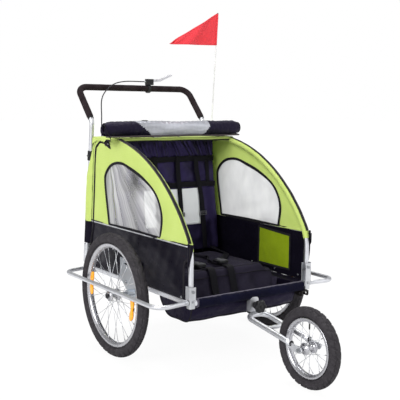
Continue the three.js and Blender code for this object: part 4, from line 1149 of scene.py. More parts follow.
def upper_panel(side, s, body, hinge):
    outline = above(arch_line(hinge, 9), BELT_Z + 0.5)
    corners = [outline[0], outline[-1], WINDOW_KNOTS[0], WINDOW_KNOTS[-1]]
    angles, t, yz = polar(window_line(), outline, 14, corners)
    tt = np.broadcast_to(t, yz.shape[:2])
    points = np.dstack([np.zeros(yz.shape[:2]), yz])
    crown = 2.2 * np.sin(math.pi * tt) - 1.5 * smooth((tt - 0.85) / 0.15)
    pull = 0.8 * waves(points, 120, 41 + s) * np.sin(math.pi * tt)
    pucker = 0.7 * np.sin(angles * 90)[:, None] * smooth((tt - 0.75) / 0.25) * smooth((1 - tt) / 0.1)
    points[..., 0] = s * (FABRIC_X + crown + pull + pucker)
    build(f"side_cloth_{side}", lattice(points, True), GREEN_SIDE, body, f"side_fabric_upper_{side}",
          solid=CLOTH)


def window(side, s, body):
    outline = window_line()
    corners = [WINDOW_KNOTS[0], WINDOW_KNOTS[-1]]
    angles, t, yz = polar(None, outline, 46, corners)
    tt = np.broadcast_to(t, yz.shape[:2])
    points = np.dstack([np.zeros(yz.shape[:2]), yz])
    slant = (yz[..., 0] * 0.84 + yz[..., 1] * 0.55)
    drapes = np.sin(slant / 17 + 1.3 * waves(points, 160, 51 + s)) * smooth((yz[..., 1] - 540) / 160)
    slack = 1.6 * waves(points, 90, 55 + s, 9) + 1.7 * drapes
    points[..., 0] = s * (FABRIC_X - 0.5 + slack * smooth((1 - tt) / 0.25))
    verts, faces = lattice(points, True)
    m = points.shape[1]
    faces.append(tuple(i * m for i in range(points.shape[0])))
    build(f"window_film_{side}", (verts, faces), WINDOW_RIGHT if s < 0 else WINDOW_LEFT, body,
          f"side_window_{side}", closed=False)
    middle = np.array(WINDOW_MIDDLE)
    r = radial(outline, middle, angles)
    rows = []
    for offset, lift in ((-6.5, 0.2), (-5.0, 1.2), (0.5, 1.7), (5.5, 1.2), (7.0, 0.2)):
        ring = middle + (r + offset)[:, None] * np.stack([np.cos(angles), np.sin(angles)], 1)
        rows.append(np.column_stack([np.full(len(ring), s * (FABRIC_X + 0.9 + lift)), ring]))
    tape = np.stack(rows, 1)
    build(f"window_tape_{side}", lattice(tape, True), PIPING, body, solid=1.0)
    inner = tape.copy()
    inner[..., 0] = s * (2 * FABRIC_X - np.abs(tape[..., 0]) - 1.2)
    build(f"window_tape_inside_{side}", lattice(inner, True), PIPING, body, solid=1.0)
    seams = [stitches(np.vstack([tape[:, k], tape[:1, k]]), (s * 1.0, 0, 0)) for k in (1, 3)]
    build(f"window_stitching_{side}", merge(*seams), THREAD, body)


def laced(obj):
    """Bakes the cloth's placing into its mesh."""
    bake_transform(obj)


def lower_panel(side, s, body, hinge):
    """Coated cloth between the belt and the rail, which on the trailer hangs on the side frame and is laced
    to the floor; here the panel is baked in place with no body, while its cuff and belt hem ride on the side
    frame.
    """
    rear_line = arch_line(hinge, 8)
    z = np.concatenate([np.linspace(294, hinge + 24, 16), np.linspace(hinge + 30, BELT_Z, 22)])
    u = np.linspace(0, 1, 90)
    zz, uu = np.meshgrid(z, u)
    front = -350 - 38 * smooth((zz - 425) / 35)
    rear_y = np.interp(zz, [294, BELT_Z], [crossing(rear_line, hinge, True),
                                           crossing(rear_line, BELT_Z, True)])
    yy = front + uu * (rear_y - front)
    points = np.dstack([np.zeros_like(yy), yy, zz])
    middle = np.sin(math.pi * uu) * np.sin(math.pi * (zz - 294) / (BELT_Z - 294))
    tuck = smooth((zz - 300) / 40)
    wrinkle = 2.6 * waves(points, 190, 61 + s) + 0.8 * waves(points, 60, 63 + s)
    points[..., 0] = s * (FABRIC_X + 1.5 * middle + wrinkle * tuck * np.clip(4 * np.sin(math.pi * uu), 0, 1))
    obj = build(f"side_lower_cloth_{side}", points, COATED, None, f"side_fabric_lower_{side}", solid=CLOTH)
    laced(obj)
    v, w = grid(26, 12)
    height = 384 + v * 122
    turn = math.pi / 2 * (1 + 0.12 - w * (0.12 + 1.02 * smooth(v * 0.95)))
    reach = 14.9 + 0.7 * np.sin(height / 13 + 2 * w) * w
    wrap = np.dstack([s * (RAIL_X + reach * np.sin(turn)), -380.4 - reach * np.cos(turn), height - 3.0 * w])
    build(f"side_lower_cuff_{side}", wrap, COATED, body, solid=CLOTH)
    front_edge = points[0] + [s * 0.6, -1, 0]
    edge = build(f"side_lower_binding_{side}", sweep(front_edge, band(11, 2.6), side=(0, 1, 0)), PIPING, None)
    laced(edge)
    hem = points[:, -3] + [s * 1.4, 0, 0]
    build(f"belt_stitching_{side}", stitches(hem), THREAD, body)
    fold = 1.0 * waves(points[:, -1], 40, 67 + s)
    piece = points[:, -1] + np.column_stack([np.full(len(fold), s * 1.2), np.zeros(len(fold)), fold * 0.2])
    build(f"belt_hem_{side}", sweep(piece, band(14, 2.2), side=(0, 0, 1)), COATED, body)


def edge_piping(side, s, body, hinge):
    """Thick piping round the rear edge, turning in under the tie patch, and the pale belt piping."""
    x = s * (FABRIC_X + 1.2)
    line = arch_line(hinge, 8)
    rise = [(x, crossing(line, z, True) - 5 - 19 * smooth((z - 400) / 80), z)
            for z in np.linspace(hinge + 24, 790, 44)]
    turn = [(x, 331, 813), (x, 325, 826), (x, 314, 834), (x, 298, 845), (x, 284, 849), (x, 266, 847)]
    path = dense(spline(np.vstack([rise[::4], turn]), 8), 9)
    build(f"rear_piping_{side}", tube(path, 5.2, 16), PIPING, body)
    belt = dense([(s * (FABRIC_X + 2.2), y, BELT_Z) for y in
                  (crossing(line, BELT_Z, False), crossing(line, BELT_Z, True) - 5)], 20)
    build(f"belt_piping_{side}", tube(belt, 2.7, 14), REFLECTIVE, body)
    seam_line = above(arch_line(hinge, 0), BELT_Z + 8, 830)
    seam = dense([(s * (FABRIC_X + 1.6), y, z) for y, z in seam_line], 9)
    build(f"arch_stitching_{side}", stitches(seam), PALE_THREAD, body)


def pocket():
    """Lime pocket on the inside of the left wall, bound in black; its cloth is darkened to olive as painted
    shade.
    """
    y0, y1, z0, z1 = -270, -66, 322, 469
    u, v = grid(30, 26)
    yy, zz = y0 + u * (y1 - y0), z0 + v * (z1 - z0) + 14 * v * u
    points = np.dstack([np.zeros_like(yy), yy, zz])
    belly = np.sin(math.pi * u) * (0.4 + 0.6 * v)
    points[..., 0] = 296.6 - 2.6 * belly - 0.5 * waves(points, 60, 71)
    obj = build("pocket_cloth", points, SHADED_POCKET_CLOTH, None, "inner_pocket", solid=THIN_CLOTH)
    laced(obj)
    rim = np.vstack([points[:, 0], points[-1, 1:], points[::-1, -1][1:], points[0, ::-1][1:-1]])
    rim[:, 0] -= 0.8
    binding = sweep(rim, band(2.4, 10), side=(1, 0, 0), closed=True)
    edge = build("pocket_binding", binding, PIPING, None)
    laced(edge)


# ---------------------------------------------------------------- roof, rear and roll


def soft(name, *args, **kwargs):
    """A piece of cloth held up by both side frames, built on the base with a mesh of its own."""
    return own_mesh(build(name, *args, **kwargs))


def roof():
    u, v = grid(80, 44, -1)
    points = np.dstack([u * 300, ROOF_FRONT + v * 224, np.zeros_like(u)])
    sag = -5.5 * (1 - u**4) * np.sin(math.pi * v) * 0.8
    points[..., 2] = ROOF_Z + 0.2 + sag - 2.4 * smooth((np.abs(u) - 0.955) / 0.045)
    points[..., 2] += 0.9 * waves(points, 110, 81) * (1 - u**4)
    points[..., 2] -= 4.0 * smooth((v - 0.93) / 0.07)
    soft("roof_cloth", points, GREEN_ROOF, node="roof_panel", solid=CLOTH)
    v, u = grid(5, 90)
    x = -299 + u.T * 598
    down = v.T
    drop = np.dstack([x, ROOF_FRONT - 1.5 * down + 0.8 * np.sin(x / 21),
                      ROOF_Z - 11 * down + 0.7 * np.sin(x / 33)])
    soft("roof_hem", drop, GREEN_ROOF, solid=CLOTH)
    soft("roof_hem_binding", tube(drop[:, -1] + [0, 0, -2], 3.0, 12), PIPING)
    soft("roof_stitching", stitches(drop[:, 3], (0, -1.3, 0)), PALE_THREAD)
    for tag, s in SIDES:
        tt, dd = grid(60, 9)
        edge = np.interp(tt, [0, 0.18, 0.5, 0.8, 1.0], [866, 857, 851, 852, 838])
        flap = np.dstack([np.zeros_like(tt), 142 + (362 - 142) * tt, 869.5 - dd * (869.5 - edge)])
        bulge = 5.4 * smooth(dd * 3) + 1.2 * waves(flap, 50, 83 + s) * dd
        flap[..., 0] = s * (298.5 + bulge)
        soft(f"roof_flap_{tag}", flap, GREEN_SIDE, solid=THIN_CLOTH)
        soft(f"roof_flap_stitching_{tag}", stitches(flap[:, 7], (s * 1.2, 0, 0)), PALE_THREAD)


def rear_y(z):
    return 397.8 + 0.0732 * (327 - z)


def rear():
    """Back wall: lime above the belt, black below, with a stitched pocket and reflective piping."""
    def wall(z0, z1, half, rows, seed):
        u, v = grid(70, rows, -1)
        z = z0 + v * (z1 - z0)
        points = np.dstack([u * half(z), rear_y(z), z])
        points[..., 1] += (1.6 * waves(points, 140, seed) + 0.5 * waves(points, 40, seed + 1)) * (1 - u**6)
        return points

    top = wall(BELT_Z, 863, lambda z: 298, 44, 91)
    bottom = wall(301, BELT_Z, lambda z: np.where(z < 376, 266, 298), 30, 93)
    soft("rear_cloth_upper", top, GREEN_REAR, node="rear_panel", solid=CLOTH)
    soft("rear_cloth_lower", bottom, BLACK_FRONT, solid=CLOTH)
    soft("rear_belt_piping", tube(top[:, 0] + [0, 2.2, 0], 2.7, 14), REFLECTIVE)
    soft("rear_top_piping", tube(top[:, -1] + [0, 1.6, 1], 3.0, 12), PIPING)
    for tag, k in (("right", 0), ("left", -1)):
        edge = np.vstack([top[k], bottom[k, ::-1][1:12]]) + [0, 1.6, 0]
        soft(f"rear_edge_piping_{tag}", tube(edge, 3.4, 12), PIPING)
    u, v = grid(60, 26, -1)
    z = 322 + v * 150
    bag = np.dstack([u * 215, rear_y(z) + 3, z])
    fullness = (1 - u**4) * np.sin(math.pi * np.clip(v * 0.85 + 0.05, 0, 1))
    bag[..., 1] += 7.0 * fullness + 0.8 * waves(bag, 50, 97)
    soft("rear_pocket", bag, BLACK_FRONT, solid=THIN_CLOTH)
    soft("rear_pocket_elastic", sweep(bag[:, -1], band(15, 3.4), side=(0, 0, 1)), STRAP_X)
    seams = [stitches(bag[:, 1], (0, 1.2, 0)), stitches(bag[1], (0, 1.2, 0)), stitches(bag[-2], (0, 1.2, 0))]
    soft("rear_stitching", merge(*seams), THREAD)
    lining = wall(294, 486, lambda z: 296, 20, 95)
    lining[..., 1] -= rear_y(lining[..., 2]) - 363
    soft("rear_lining", lining, BLACK_FRONT, solid=1.2)
    for tag, s in SIDES:
        handle_wrap(tag, s)


def handle_wrap(tag, s):
    """Rear cloth carried out round the handle tube: it narrows upwards to the roof corner."""
    toward = np.array([s * 0.579, -0.815])
    across = np.array([-s * 0.815, -0.579])
    turn = TAU * np.arange(40) / 40
    spot = np.cos(turn)[:, None] * across + np.sin(turn)[:, None] * toward
    mouth = 765 + 77 * np.cos(turn)
    v = np.linspace(0, 1, 40)
    z = 392 + v[None, :] * (mouth[:, None] - 392)
    points = np.zeros((40, 40, 3))
    skin = np.dstack([np.broadcast_to(turn[:, None] * 14, z.shape), z, 0 * z])
    radius = 13.8 + 0.35 * waves(skin, 45, 99 + s)
    points[..., 0] = s * 298 + radius * spot[:, 0:1]
    points[..., 1] = handle_y(z) + radius * spot[:, 1:2]
    points[..., 2] = z
    wrap = lattice(points, True)
    soft(f"handle_wrap_{tag}", wrap, [BLACK_FRONT, GREEN_SIDE], solid=THIN_CLOTH,
         pick=lambda centres: centres[:, 2] > BELT_Z)
    line = arch_line(HINGE_Z[tag], 8)
    heights = np.linspace(392, 846, 60)
    web = np.zeros((60, 12, 3))
    for i, h in enumerate(heights):
        a = math.acos(np.clip((h - 765) / 77, -0.45, 1))
        start = np.array([s * (FABRIC_X + 0.8), crossing(line, h, True)])
        end = np.array([s * 298, handle_y(h)]) + 14.0 * (math.cos(a) * across + math.sin(a) * toward)
        t = np.linspace(0, 1, 12)[:, None]
        web[i, :, :2] = start + (end - start) * t
        web[i, :, 0] += s * 2.2 * np.sin(math.pi * t[:, 0])
        web[i, :, 2] = h
    web[..., 0] += s * 0.9 * waves(web, 70, 201 + s)
    soft(f"rear_gusset_{tag}", web, [BLACK_FRONT, GREEN_SIDE], solid=THIN_CLOTH,
         pick=lambda centres: centres[:, 2] > BELT_Z)


ROLL_MIDDLE = np.array([-25.0, 135.0, 908.5])


def roll_point(x, turn, radius):
    return np.stack([x, ROLL_MIDDLE[1] + radius * np.cos(turn), ROLL_MIDDLE[2] + radius * np.sin(turn)], -1)


def cover_roll():
    """The front cover: cloth and clear film rolled up together, spiral ends showing."""
    turns, per = 5, 30
    x = np.linspace(-370, 320, 116)
    phi = np.linspace(0, turns * TAU, turns * per)
    xx, pp = np.meshgrid(x, phi, indexing="ij")
    r = 34.2 - 4.6 * pp / TAU
    near = np.dstack([xx, 34 * np.cos(pp), 34 * np.sin(pp)])
    wrinkle = 1.9 * waves(near, 110, 101) + 0.9 * waves(near * [2.2, 1, 1], 55, 103)
    r += wrinkle * (1 - 0.12 * pp / TAU)
    ends = np.minimum(xx + 370, 320 - xx)
    r -= 6.5 * smooth(1 - ends / 30) * (r > 20)
    start = -1.9
    points = roll_point(xx, pp + start, r)
    points[..., 0] += 2.5 * np.sin(pp * 1.7) * np.sign(xx) * smooth(1 - ends / 40)

    def film(centres):
        lean = (centres[:, 2] - 887) / 54
        left = -157 - 75 * lean
        right = 121 + 45 * np.clip(lean, -0.3, 0.5)
        return (centres[:, 0] > left) & (centres[:, 0] < right)

    soft("cover_roll_cloth", points, [BLACK_TOP, ROLL_FILM], node="cover_roll", solid=THICK_CLOTH, pick=film)
    xs = np.linspace(-368, 318, 60)
    low = np.stack([xs, np.full(60, 116.0), 877.5 + 0.8 * np.sin(xs / 40)], 1)
    # The roll's bottom piping is black; its grey cord colour is a painted highlight.
    soft("cover_roll_piping", tube(low, 3.4, 14), CORD_AND_HIGHLIGHT)
    soft("cover_roll_clip", block((-186, 128, 939.5), (-163, 142, 944.4)), PLASTIC, bevel=1.2)
    tie = spline([(-352, 150, 893), (-366, 141, 908), (-377, 126, 923), (-381, 108, 924), (-380, 94, 905),
                  (-371, 90, 886), (-354, 104, 868), (-335, 148, 860), (-318, 196, 859), (-311, 226, 857),
                  (-307.5, 236, 846)], 9)
    soft("roll_tie", sweep(tie, band(10.5, 2.4), side=(0.5, 0.8, 0.1)), STRAP_Y)


def roof_patches():
    """Black corner patches with a tie loop, where the roof meets each side."""
    for side, s in SIDES:
        outline = [(286, 850), (262, 845), (244, 852), (214, 857), (205, 848), (194, 822), (212, 826),
                   (240, 838)]
        patch = prism(outline, *sorted((s * 304.8, s * 306.2)))
        build(f"tie_patch_{side}", patch, PIPING, f"side_{side}", bevel=0.4)
        t = np.linspace(0, TAU, 26, endpoint=False)
        loop = np.stack([s * (307.4 + 1.2 * np.cos(t)), 234 + 5 * np.cos(t), 842 + 8 * np.sin(t)], 1)
        build(f"tie_loop_{side}", sweep(loop, circle(1.5, 8), side=(1, 0, 0), closed=True), CORD_AND_HIGHLIGHT,
              f"side_{side}")
        rivet = mirrored(lathe([(CORE, 306.2), (3.4, 306.2), (3.0, 307.6), (CORE, 307.9)], 18, (0, 215, 843)),
                         s)
        build(f"tie_rivet_{side}", rivet, STEEL, f"side_{side}")


# ---------------------------------------------------------------- seat, floor and front


SIM_FRAMES = 20
AIR_PRESSURE = 4.0


def remeshed(shape, voxel):
    """A closed shape as an even quad skin, in millimetres."""
    obj = build("remesh_source", shape, [], body=None)
    skin = obj.modifiers.new("skin", "REMESH")
    skin.mode, skin.voxel_size = "VOXEL", voxel * MM
    done = bpy.data.meshes.new_from_object(obj.evaluated_get(bpy.context.evaluated_depsgraph_get()))
    bpy.data.objects.remove(obj)
    return done


def puffed(name, shape, finish, voxel, cap, node):
    """A stuffed piece: remeshed, blown up by at most cap in a short cloth simulation, and smoothed."""
    mesh = remeshed(shape, voxel)
    obj = bpy.data.objects.new(name, mesh)
    SCENE.collection.objects.link(obj)
    start = np.array([v.co for v in mesh.vertices], float)
    sim = obj.modifiers.new("air", "CLOTH")
    sim.settings.use_pressure = True
    sim.settings.uniform_pressure_force = AIR_PRESSURE
    sim.settings.quality = 4
    sim.settings.tension_stiffness = sim.settings.compression_stiffness = 12
    sim.settings.effector_weights.gravity = 0
    sim.point_cache.frame_start, sim.point_cache.frame_end = 1, SIM_FRAMES
    for number in range(1, SIM_FRAMES + 1):
        SCENE.frame_set(number)
    blown = obj.evaluated_get(bpy.context.evaluated_depsgraph_get()).to_mesh()
    move = np.array([v.co for v in blown.vertices], float) - start
    far = np.linalg.norm(move, axis=1, keepdims=True)
    move *= np.minimum(1.0, cap * MM / np.maximum(far, 1e-9))
    obj.to_mesh_clear()
    obj.modifiers.remove(sim)
    SCENE.frame_set(1)
    mesh.vertices.foreach_set("co", (start + move).ravel())
    mesh.materials.clear()
    mesh.materials.append(finish)
    mesh.polygons.foreach_set("use_smooth", np.full(len(mesh.polygons), True))
    mesh.update()
    fine = obj.modifiers.new("fine", "SUBSURF")
    fine.levels = fine.render_levels = 1
    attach(obj, "base")
    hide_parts(node)
    return obj


def on_seat(name, *args, **kwargs):
    """A piece that lies on the seat, built on the base with a mesh of its own."""
    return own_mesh(build(name, *args, **kwargs))


def seat():
    cushions = []
    for s in SIGNS:
        for far, low, high in ((196, 305, 339), (230, 303, 320)):
            outline = [(s * 10, -196), (s * far, -196), (s * far, 172), (s * 10, 172)]
            cushions.append(prism(outline, low, high, Z))
    bridge = prism([(-14, -190), (14, -190), (14, 168), (-14, 168)], 304, 331, Z)
    pad = puffed("seat_cushion", merge(*cushions, bridge), SEAT_CLOTH, 6.5, 9, "seat_pad")
    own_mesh(pad)
    y = np.linspace(-190, 168, 60)
    gutter = np.stack([np.zeros(60), y, np.full(60, 336.5)], 1)
    on_seat("seat_centre_seam", sweep(gutter, band(22, 1.6), side=(1, 0, 0)), PIPING)
    seams = [stitches(gutter + [dx, 0, 0.9]) for dx in (-8, 8)]
    on_seat("seat_stitching", merge(*seams), THREAD)
    apron()


def apron():
    """The seat cloth carried down over the front edge into the foot well."""
    u, v = grid(90, 40, -1)
    down = [(-176, 350), (-192, 351), (-205, 346), (-212, 333), (-216, 317), (-224, 296), (-238, 264),
            (-251, 232), (-262, 203)]
    line = spline(down, 12)
    at = v * (len(line) - 1)
    y = np.interp(at, np.arange(len(line)), line[:, 0])
    z = np.interp(at, np.arange(len(line)), line[:, 1])
    points = np.dstack([u * 238, y, z])
    shoulder = smooth((np.abs(points[..., 0]) - 186) / 40)
    points[..., 2] -= shoulder * np.clip(z - 314, 0, 40) * 0.75
    beyond = smooth((points[..., 0] - 222) / 14)
    points[..., 2] = np.maximum(points[..., 2], 203 + 92 * beyond)
    drape = smooth((v - 0.42) / 0.25)
    scoop = np.sin(u * 14 + 2.2 * v + 0.9 * waves(points, 160, 115))
    points[..., 1] -= drape * (3.0 * waves(points, 110, 111) + 5.0 * scoop)
    points[..., 2] += 0.8 * waves(points, 70, 113) * (1 - drape) - 5.0 * drape * (1 - u**2)
    points[..., 1] -= 1.6 * np.exp(-((v - 0.47) / 0.03) ** 2)
    on_seat("seat_apron", points, SEAT_CLOTH, solid=CLOTH)
    for tag, k in (("top", 7), ("front", 18)):
        fold = points[:, k] + [0, -1.3, 0.4]
        on_seat(f"seat_apron_seam_{tag}", tube(fold, 1.5, 8), PIPING)


def back_y(z):
    return 186 + 60 * (z - 353) / 497


def seat_back():
    u, v = grid(190, 130, -1)
    x, z = u * 262, 351 + v * 503
    points = np.dstack([x, np.zeros_like(x), z])
    gather = smooth((z - 770) / 16) * (1 - 0.45 * smooth((z - 812) / 42))
    warp = x + 0.34 * (z - 780) + 7 * np.sin(x / 37) + 4 * np.sin(z / 23 + x / 51)
    fan = 0.62 * (1 - np.abs(np.sin(warp / 18))) ** 1.5 + 0.38 * (1 - np.abs(np.sin(warp / 6.7 + 1.1))) ** 1.4
    pleats = fan * gather * 17.0
    between = smooth((z - 656) / 12) * smooth((760 - z) / 12)
    soft_pleats = (0.5 + 0.5 * np.sin((x - 0.4 * z) / 17 + 1.4 * np.sin(z / 19))) * between * 6.0
    low = smooth((646 - z) / 24)
    sides = smooth((np.abs(x) - 170) / 60) * low * (0.5 + 0.5 * np.sin(x / 11 + z / 130)) * 6.0
    belly = 2.5 * low * (0.5 + 0.5 * waves(points, 150, 121))
    points[..., 1] = back_y(z) + 8.5 - pleats - soft_pleats - sides - belly - 0.8 * waves(points, 60, 123)
    soft("back_cloth", points, BACK_CLOTH, node="seat_back", solid=3.0)
    shell = np.dstack([u[::10] * 260, back_y(z[::10]) + 17, z[::10]])
    soft("back_board_cloth", shell, BLACK_FRONT, solid=2.0)
    xs = np.linspace(-262, 262, 60)
    wide = 24
    for tag, z in (("upper", 766), ("lower", 649)):
        depth = back_y(z) - 0.6 + 0.7 * np.sin(xs / 45)
        path = np.stack([xs, depth, z + 1.2 * np.sin(xs / 80)], 1)
        soft(f"back_band_{tag}", sweep(path, band(wide, 2.4), side=(0, 0, 1)), STRAP_X)
        seams = [stitches(path + [0, -1.6, dz]) for dz in (-wide / 2 + 3, wide / 2 - 3)]
        soft(f"back_band_stitching_{tag}", merge(*seams), THREAD)
    for tag, x0, x1 in (("right", -127, -46), ("left", 4, 168)):
        u2, v2 = grid(16, 24)
        px, pz = x0 + u2 * (x1 - x0), 468 + v2 * 164
        patch = np.dstack([px, back_y(pz) + 0.4 + 0.5 * np.sin(px / 17) * np.sin(pz / 31), pz])
        soft(f"blank_patch_{tag}", patch, PATCH, solid=0.8)
    for tag, x in (("right", -222), ("left", 222)):
        path = np.array([(x, back_y(z) - 1.0, z) for z in np.linspace(652, 764, 8)])
        soft(f"back_tape_{tag}", sweep(path, band(20, 2.0), side=(1, 0, 0)), STRAP_Z)


def slider(at, half, high, depth=5.0):
    """Ladder-lock: a frame with a bar across, facing -Y."""
    x, y, z = at
    rim = 3.0
    bars = [block((x - half, y - depth, z + k * (high - rim)), (x + half, y, z + k * (high - rim) + rim))
            for k in (-1.0, 0.0, 1.0)]
    posts = [block((x + s * half - rim / 2, y - depth, z - high + rim), (x + s * half + rim / 2, y, z + high))
             for s in SIGNS]
    return merge(*bars, *posts)


CROTCH = {"right": (-72, -92, -150), "left": (23, 31, -136)}


def harness(side, s):
    """Five straps for one child: shoulders, lap and crotch, with sliders and a buckle.

    CROTCH has where the crotch strap passes the seat edge, and where its buckle lies.
    """
    centre = s * 121
    straps = []
    for e in (-1, 1):
        x = centre + e * s * 61
        spread = -24 if e > 0 else 0
        knots = ((779, 4.0), (766, 4.0), (735, 3.4), (700, 3.0), (664, 4.4), (649, 4.6), (600, 3.2),
                 (540, 3.4), (470, 3.4), (400, 3.2), (356, 3.0))
        path = spline([(x, back_y(z) - lift, z) for z, lift in knots], 8)
        path[:, 0] += 2.0 * np.sin(path[:, 2] / 60 + e) + s * spread * smooth((path[:, 2] - 560) / 190)
        straps.append(sweep(path, band(24, 2.2), side=(1, 0, 0)))
        soft(f"slider_{side}_{'outer' if e > 0 else 'inner'}",
             slider((x, back_y(515) - 4.2, 515), 16, 11), GREY_PLASTIC, bevel=0.7)
    soft(f"shoulder_straps_{side}", merge(*straps), STRAP_Z, node=f"harness_{side}")
    over, at_x, at_y = CROTCH[side]
    lap = []
    for e in (-1, 1):
        path = spline([(centre + e * 92, 176, 362), (centre + e * 84, 120, 356), (centre + e * 60, 20, 355.5),
                       (0.4 * centre + 0.6 * at_x + e * 36, -60, 357), (at_x + e * 10, at_y + 20, 358)], 10)
        lap.append(sweep(path, band(25, 2.0), side=(-0.45 * e, 0.85, 0.1 * e)))
    on_seat(f"lap_strap_{side}", merge(*lap), STRAP_Y)
    crotch = spline([(at_x, at_y - 26, 357), ((at_x + over) / 2, -184, 356), (over, -198, 358.5),
                     (over, -213, 355), (over, -222, 339), (over + 1, -229, 314), (over + 1, -240, 278),
                     (over + 2, -254, 241), (over + 2, -268, 206)], 9)
    on_seat(f"crotch_strap_{side}", sweep(crotch, band(33, 3.6), side=(1, 0, 0)), STRAP_Y)
    buckle(side, at_x, at_y)


def buckle(side, x, y):
    """Centre buckle: a shell with finger grooves and a raised push button."""
    t = np.linspace(0, TAU, 40, endpoint=False)
    outline = [(x + 27 * math.copysign(abs(math.cos(a)) ** 0.55, math.cos(a)),
                y + 32 * math.copysign(abs(math.sin(a)) ** 0.7, math.sin(a))) for a in t]
    on_seat(f"buckle_shell_{side}", prism(outline, 360.2, 371, Z), PLASTIC, bevel=2.4)
    ribs = [block((x - 17, y - 24 + 7 * k, 371), (x + 17, y - 20.5 + 7 * k, 372.8)) for k in range(4)]
    button = lathe([(CORE, 371), (10, 371), (10, 373), (8.6, 374), (CORE, 374)], 28, (x, y + 14, 0), Z)
    on_seat(f"buckle_grip_{side}", merge(*ribs, button), GREY_PLASTIC, bevel=0.5)


WELL_RIGHT, WELL_LEFT = -275.0, 240.0


def floor_and_well():
    """Floor cloth over the rails, and the foot well hanging in front of the seat."""
    u, v = grid(60, 50, -1)
    deck = np.dstack([u * 299, -134 + v * 496, FLOOR_Z + 0 * u])
    deck[..., 2] += -2.2 * (1 - u**4) * np.sin(math.pi * v) * (0.6 + 0.4 * waves(deck, 120, 131))
    shapes = [lattice(deck)]
    for s in SIGNS:
        u2, v2 = grid(10, 30)
        inner = WELL_LEFT if s > 0 else -WELL_RIGHT
        strip = np.dstack([s * (inner + u2 * (299 - inner)), -360.4 + v2 * 226.4,
                           FLOOR_Z + 0.5 * np.sin(v2 * 20)])
        shapes.append(lattice(strip))
    build("floor_cloth", merge(*shapes), BLACK_TOP, node="cabin_tub", solid=THICK_CLOTH)
    profile = spline([(-360.6, 292), (-362, 266), (-371, 252), (-365, 228), (-354, 208), (-338, 197),
                      (-280, 193), (-215, 195), (-190, 202), (-172, 222), (-150, 252), (-136, 292)], 8)
    stations = np.linspace(-1, 1, 110)
    points = np.zeros((len(stations), len(profile), 3))
    for i, q in enumerate(stations):
        tight = 1 - 0.03 * abs(q) ** 8
        points[i, :, 0] = (WELL_RIGHT + WELL_LEFT) / 2 + q * (WELL_LEFT - WELL_RIGHT) / 2
        points[i, :, 1] = -262 + (profile[:, 0] + 262) * tight
        points[i, :, 2] = WELL_TOP + (profile[:, 1] - WELL_TOP) * (1 - 0.04 * abs(q) ** 6)
    depth = (WELL_TOP - points[..., 2]) / 100
    crease = 2.2 * waves(points, 120, 141) + 1.3 * waves(points * [0.6, 1, 1.8], 45, 143)
    points[..., 1] -= np.clip(depth, 0, 1) * crease * np.sign(-262 - points[..., 1] + 1e-6)
    points[..., 2] += 1.4 * waves(points, 90, 147) * smooth(depth * 2)
    build("foot_well", points, WELL_CLOTH, solid=THICK_CLOTH)
    for tag, k in (("right", 0), ("left", -1)):
        edge = points[k]
        s = -1 if k == 0 else 1
        rim = np.column_stack([edge[:, 0], np.linspace(edge[0, 1], edge[-1, 1], len(edge)),
                               np.full(len(edge), WELL_TOP)])
        t = np.linspace(0, 1, 16)[None, :, None]
        sheet = edge[:, None] + (rim - edge)[:, None] * t
        swell = np.sin(math.pi * t[..., 0]) * np.sin(math.pi * np.linspace(0, 1, len(edge)))[:, None]
        sheet[..., 0] += s * swell * (3.0 + 1.2 * waves(sheet, 60, 149))
        build(f"foot_well_end_{tag}", sheet, WELL_CLOTH, solid=CLOTH)
        build(f"foot_well_piping_{tag}", tube(edge[4:], 2.6, 12), PIPING)
    hem = points[:, 8] + [0, -1.4, 0]
    build("foot_well_stitching", stitches(hem), THREAD)
    seam = points[:, 34] + [0, -1.2, -0.8]
    build("foot_well_seam", tube(seam, 1.8, 10), PIPING)


def bar_pad():
    """Stuffed wrap on the front bar, closed by a hook strip below."""
    shape = prism([(-395, 266.5), (-395, 296), (-367, 296), (-367, 266.5)], -262, 262)
    puffed("bar_pad", shape, PAD_CLOTH, 5.0, 5.5, "front_bar_pad")
    x = np.linspace(-262, 262, 130)
    rows = np.array([(-391, 298.2), (-397.5, 296.2), (-401.4, 290.5), (-402.6, 281), (-401.6, 270),
                     (-397, 263.2), (-389, 261.4)])
    skin = np.zeros((len(x), len(rows), 3))
    skin[..., 0] = x[:, None]
    skin[:, :, 1:] = rows
    skin[..., 1] += 1.0 * waves(skin, 46, 151) * (np.arange(len(rows)) < 6)
    skin[..., 2] += 0.9 * waves(skin, 30, 153)
    fuzz = build("bar_pad_hook_strip", skin, FUZZ, solid=CLOTH)
    fuzz.modifiers.new("fine", "SUBSURF").render_levels = 2
    build("bar_pad_stitching", stitches(skin[:, 1] + [0, -1.2, 0.6]), THREAD)
    ends = [lathe([(11.4, s * 258), (17.5, s * 260), (18.5, s * 264), (16, s * 266.5), (11.4, s * 266.5)], 32,
                  (0, FRONT_Y, FRAME_Z)) for s in SIGNS]
    build("bar_pad_ends", merge(*ends), PAD_CLOTH)


def snaps():
    """Press studs that hold the floor cloth and the pocket."""
    studs = []
    for s in SIGNS:
        for y, z in ((-338, 300), (-40, 300), (120, 300), (290, 300)):
            studs.append(lathe([(CORE, s * 302.0), (5, s * 302.0), (4.6, s * 303.6), (2.0, s * 304.2),
                                (CORE, s * 304.2)], 20, (0, y, z)))
    build("press_studs", merge(*studs), STEEL)
    inside = [lathe([(CORE, 296.4), (4.4, 296.4), (4.0, 295.0), (CORE, 294.6)], 18, (0, y, z))
              for y, z in ((-21, 316), (-175, 310), (-323, 310))]
    build("press_studs_inside", merge(*inside), STEEL)


# ---------------------------------------------------------------- flag


POLE_X = 312.0


def pole_y(z):
    return 367 - 0.0725 * (z - 275)


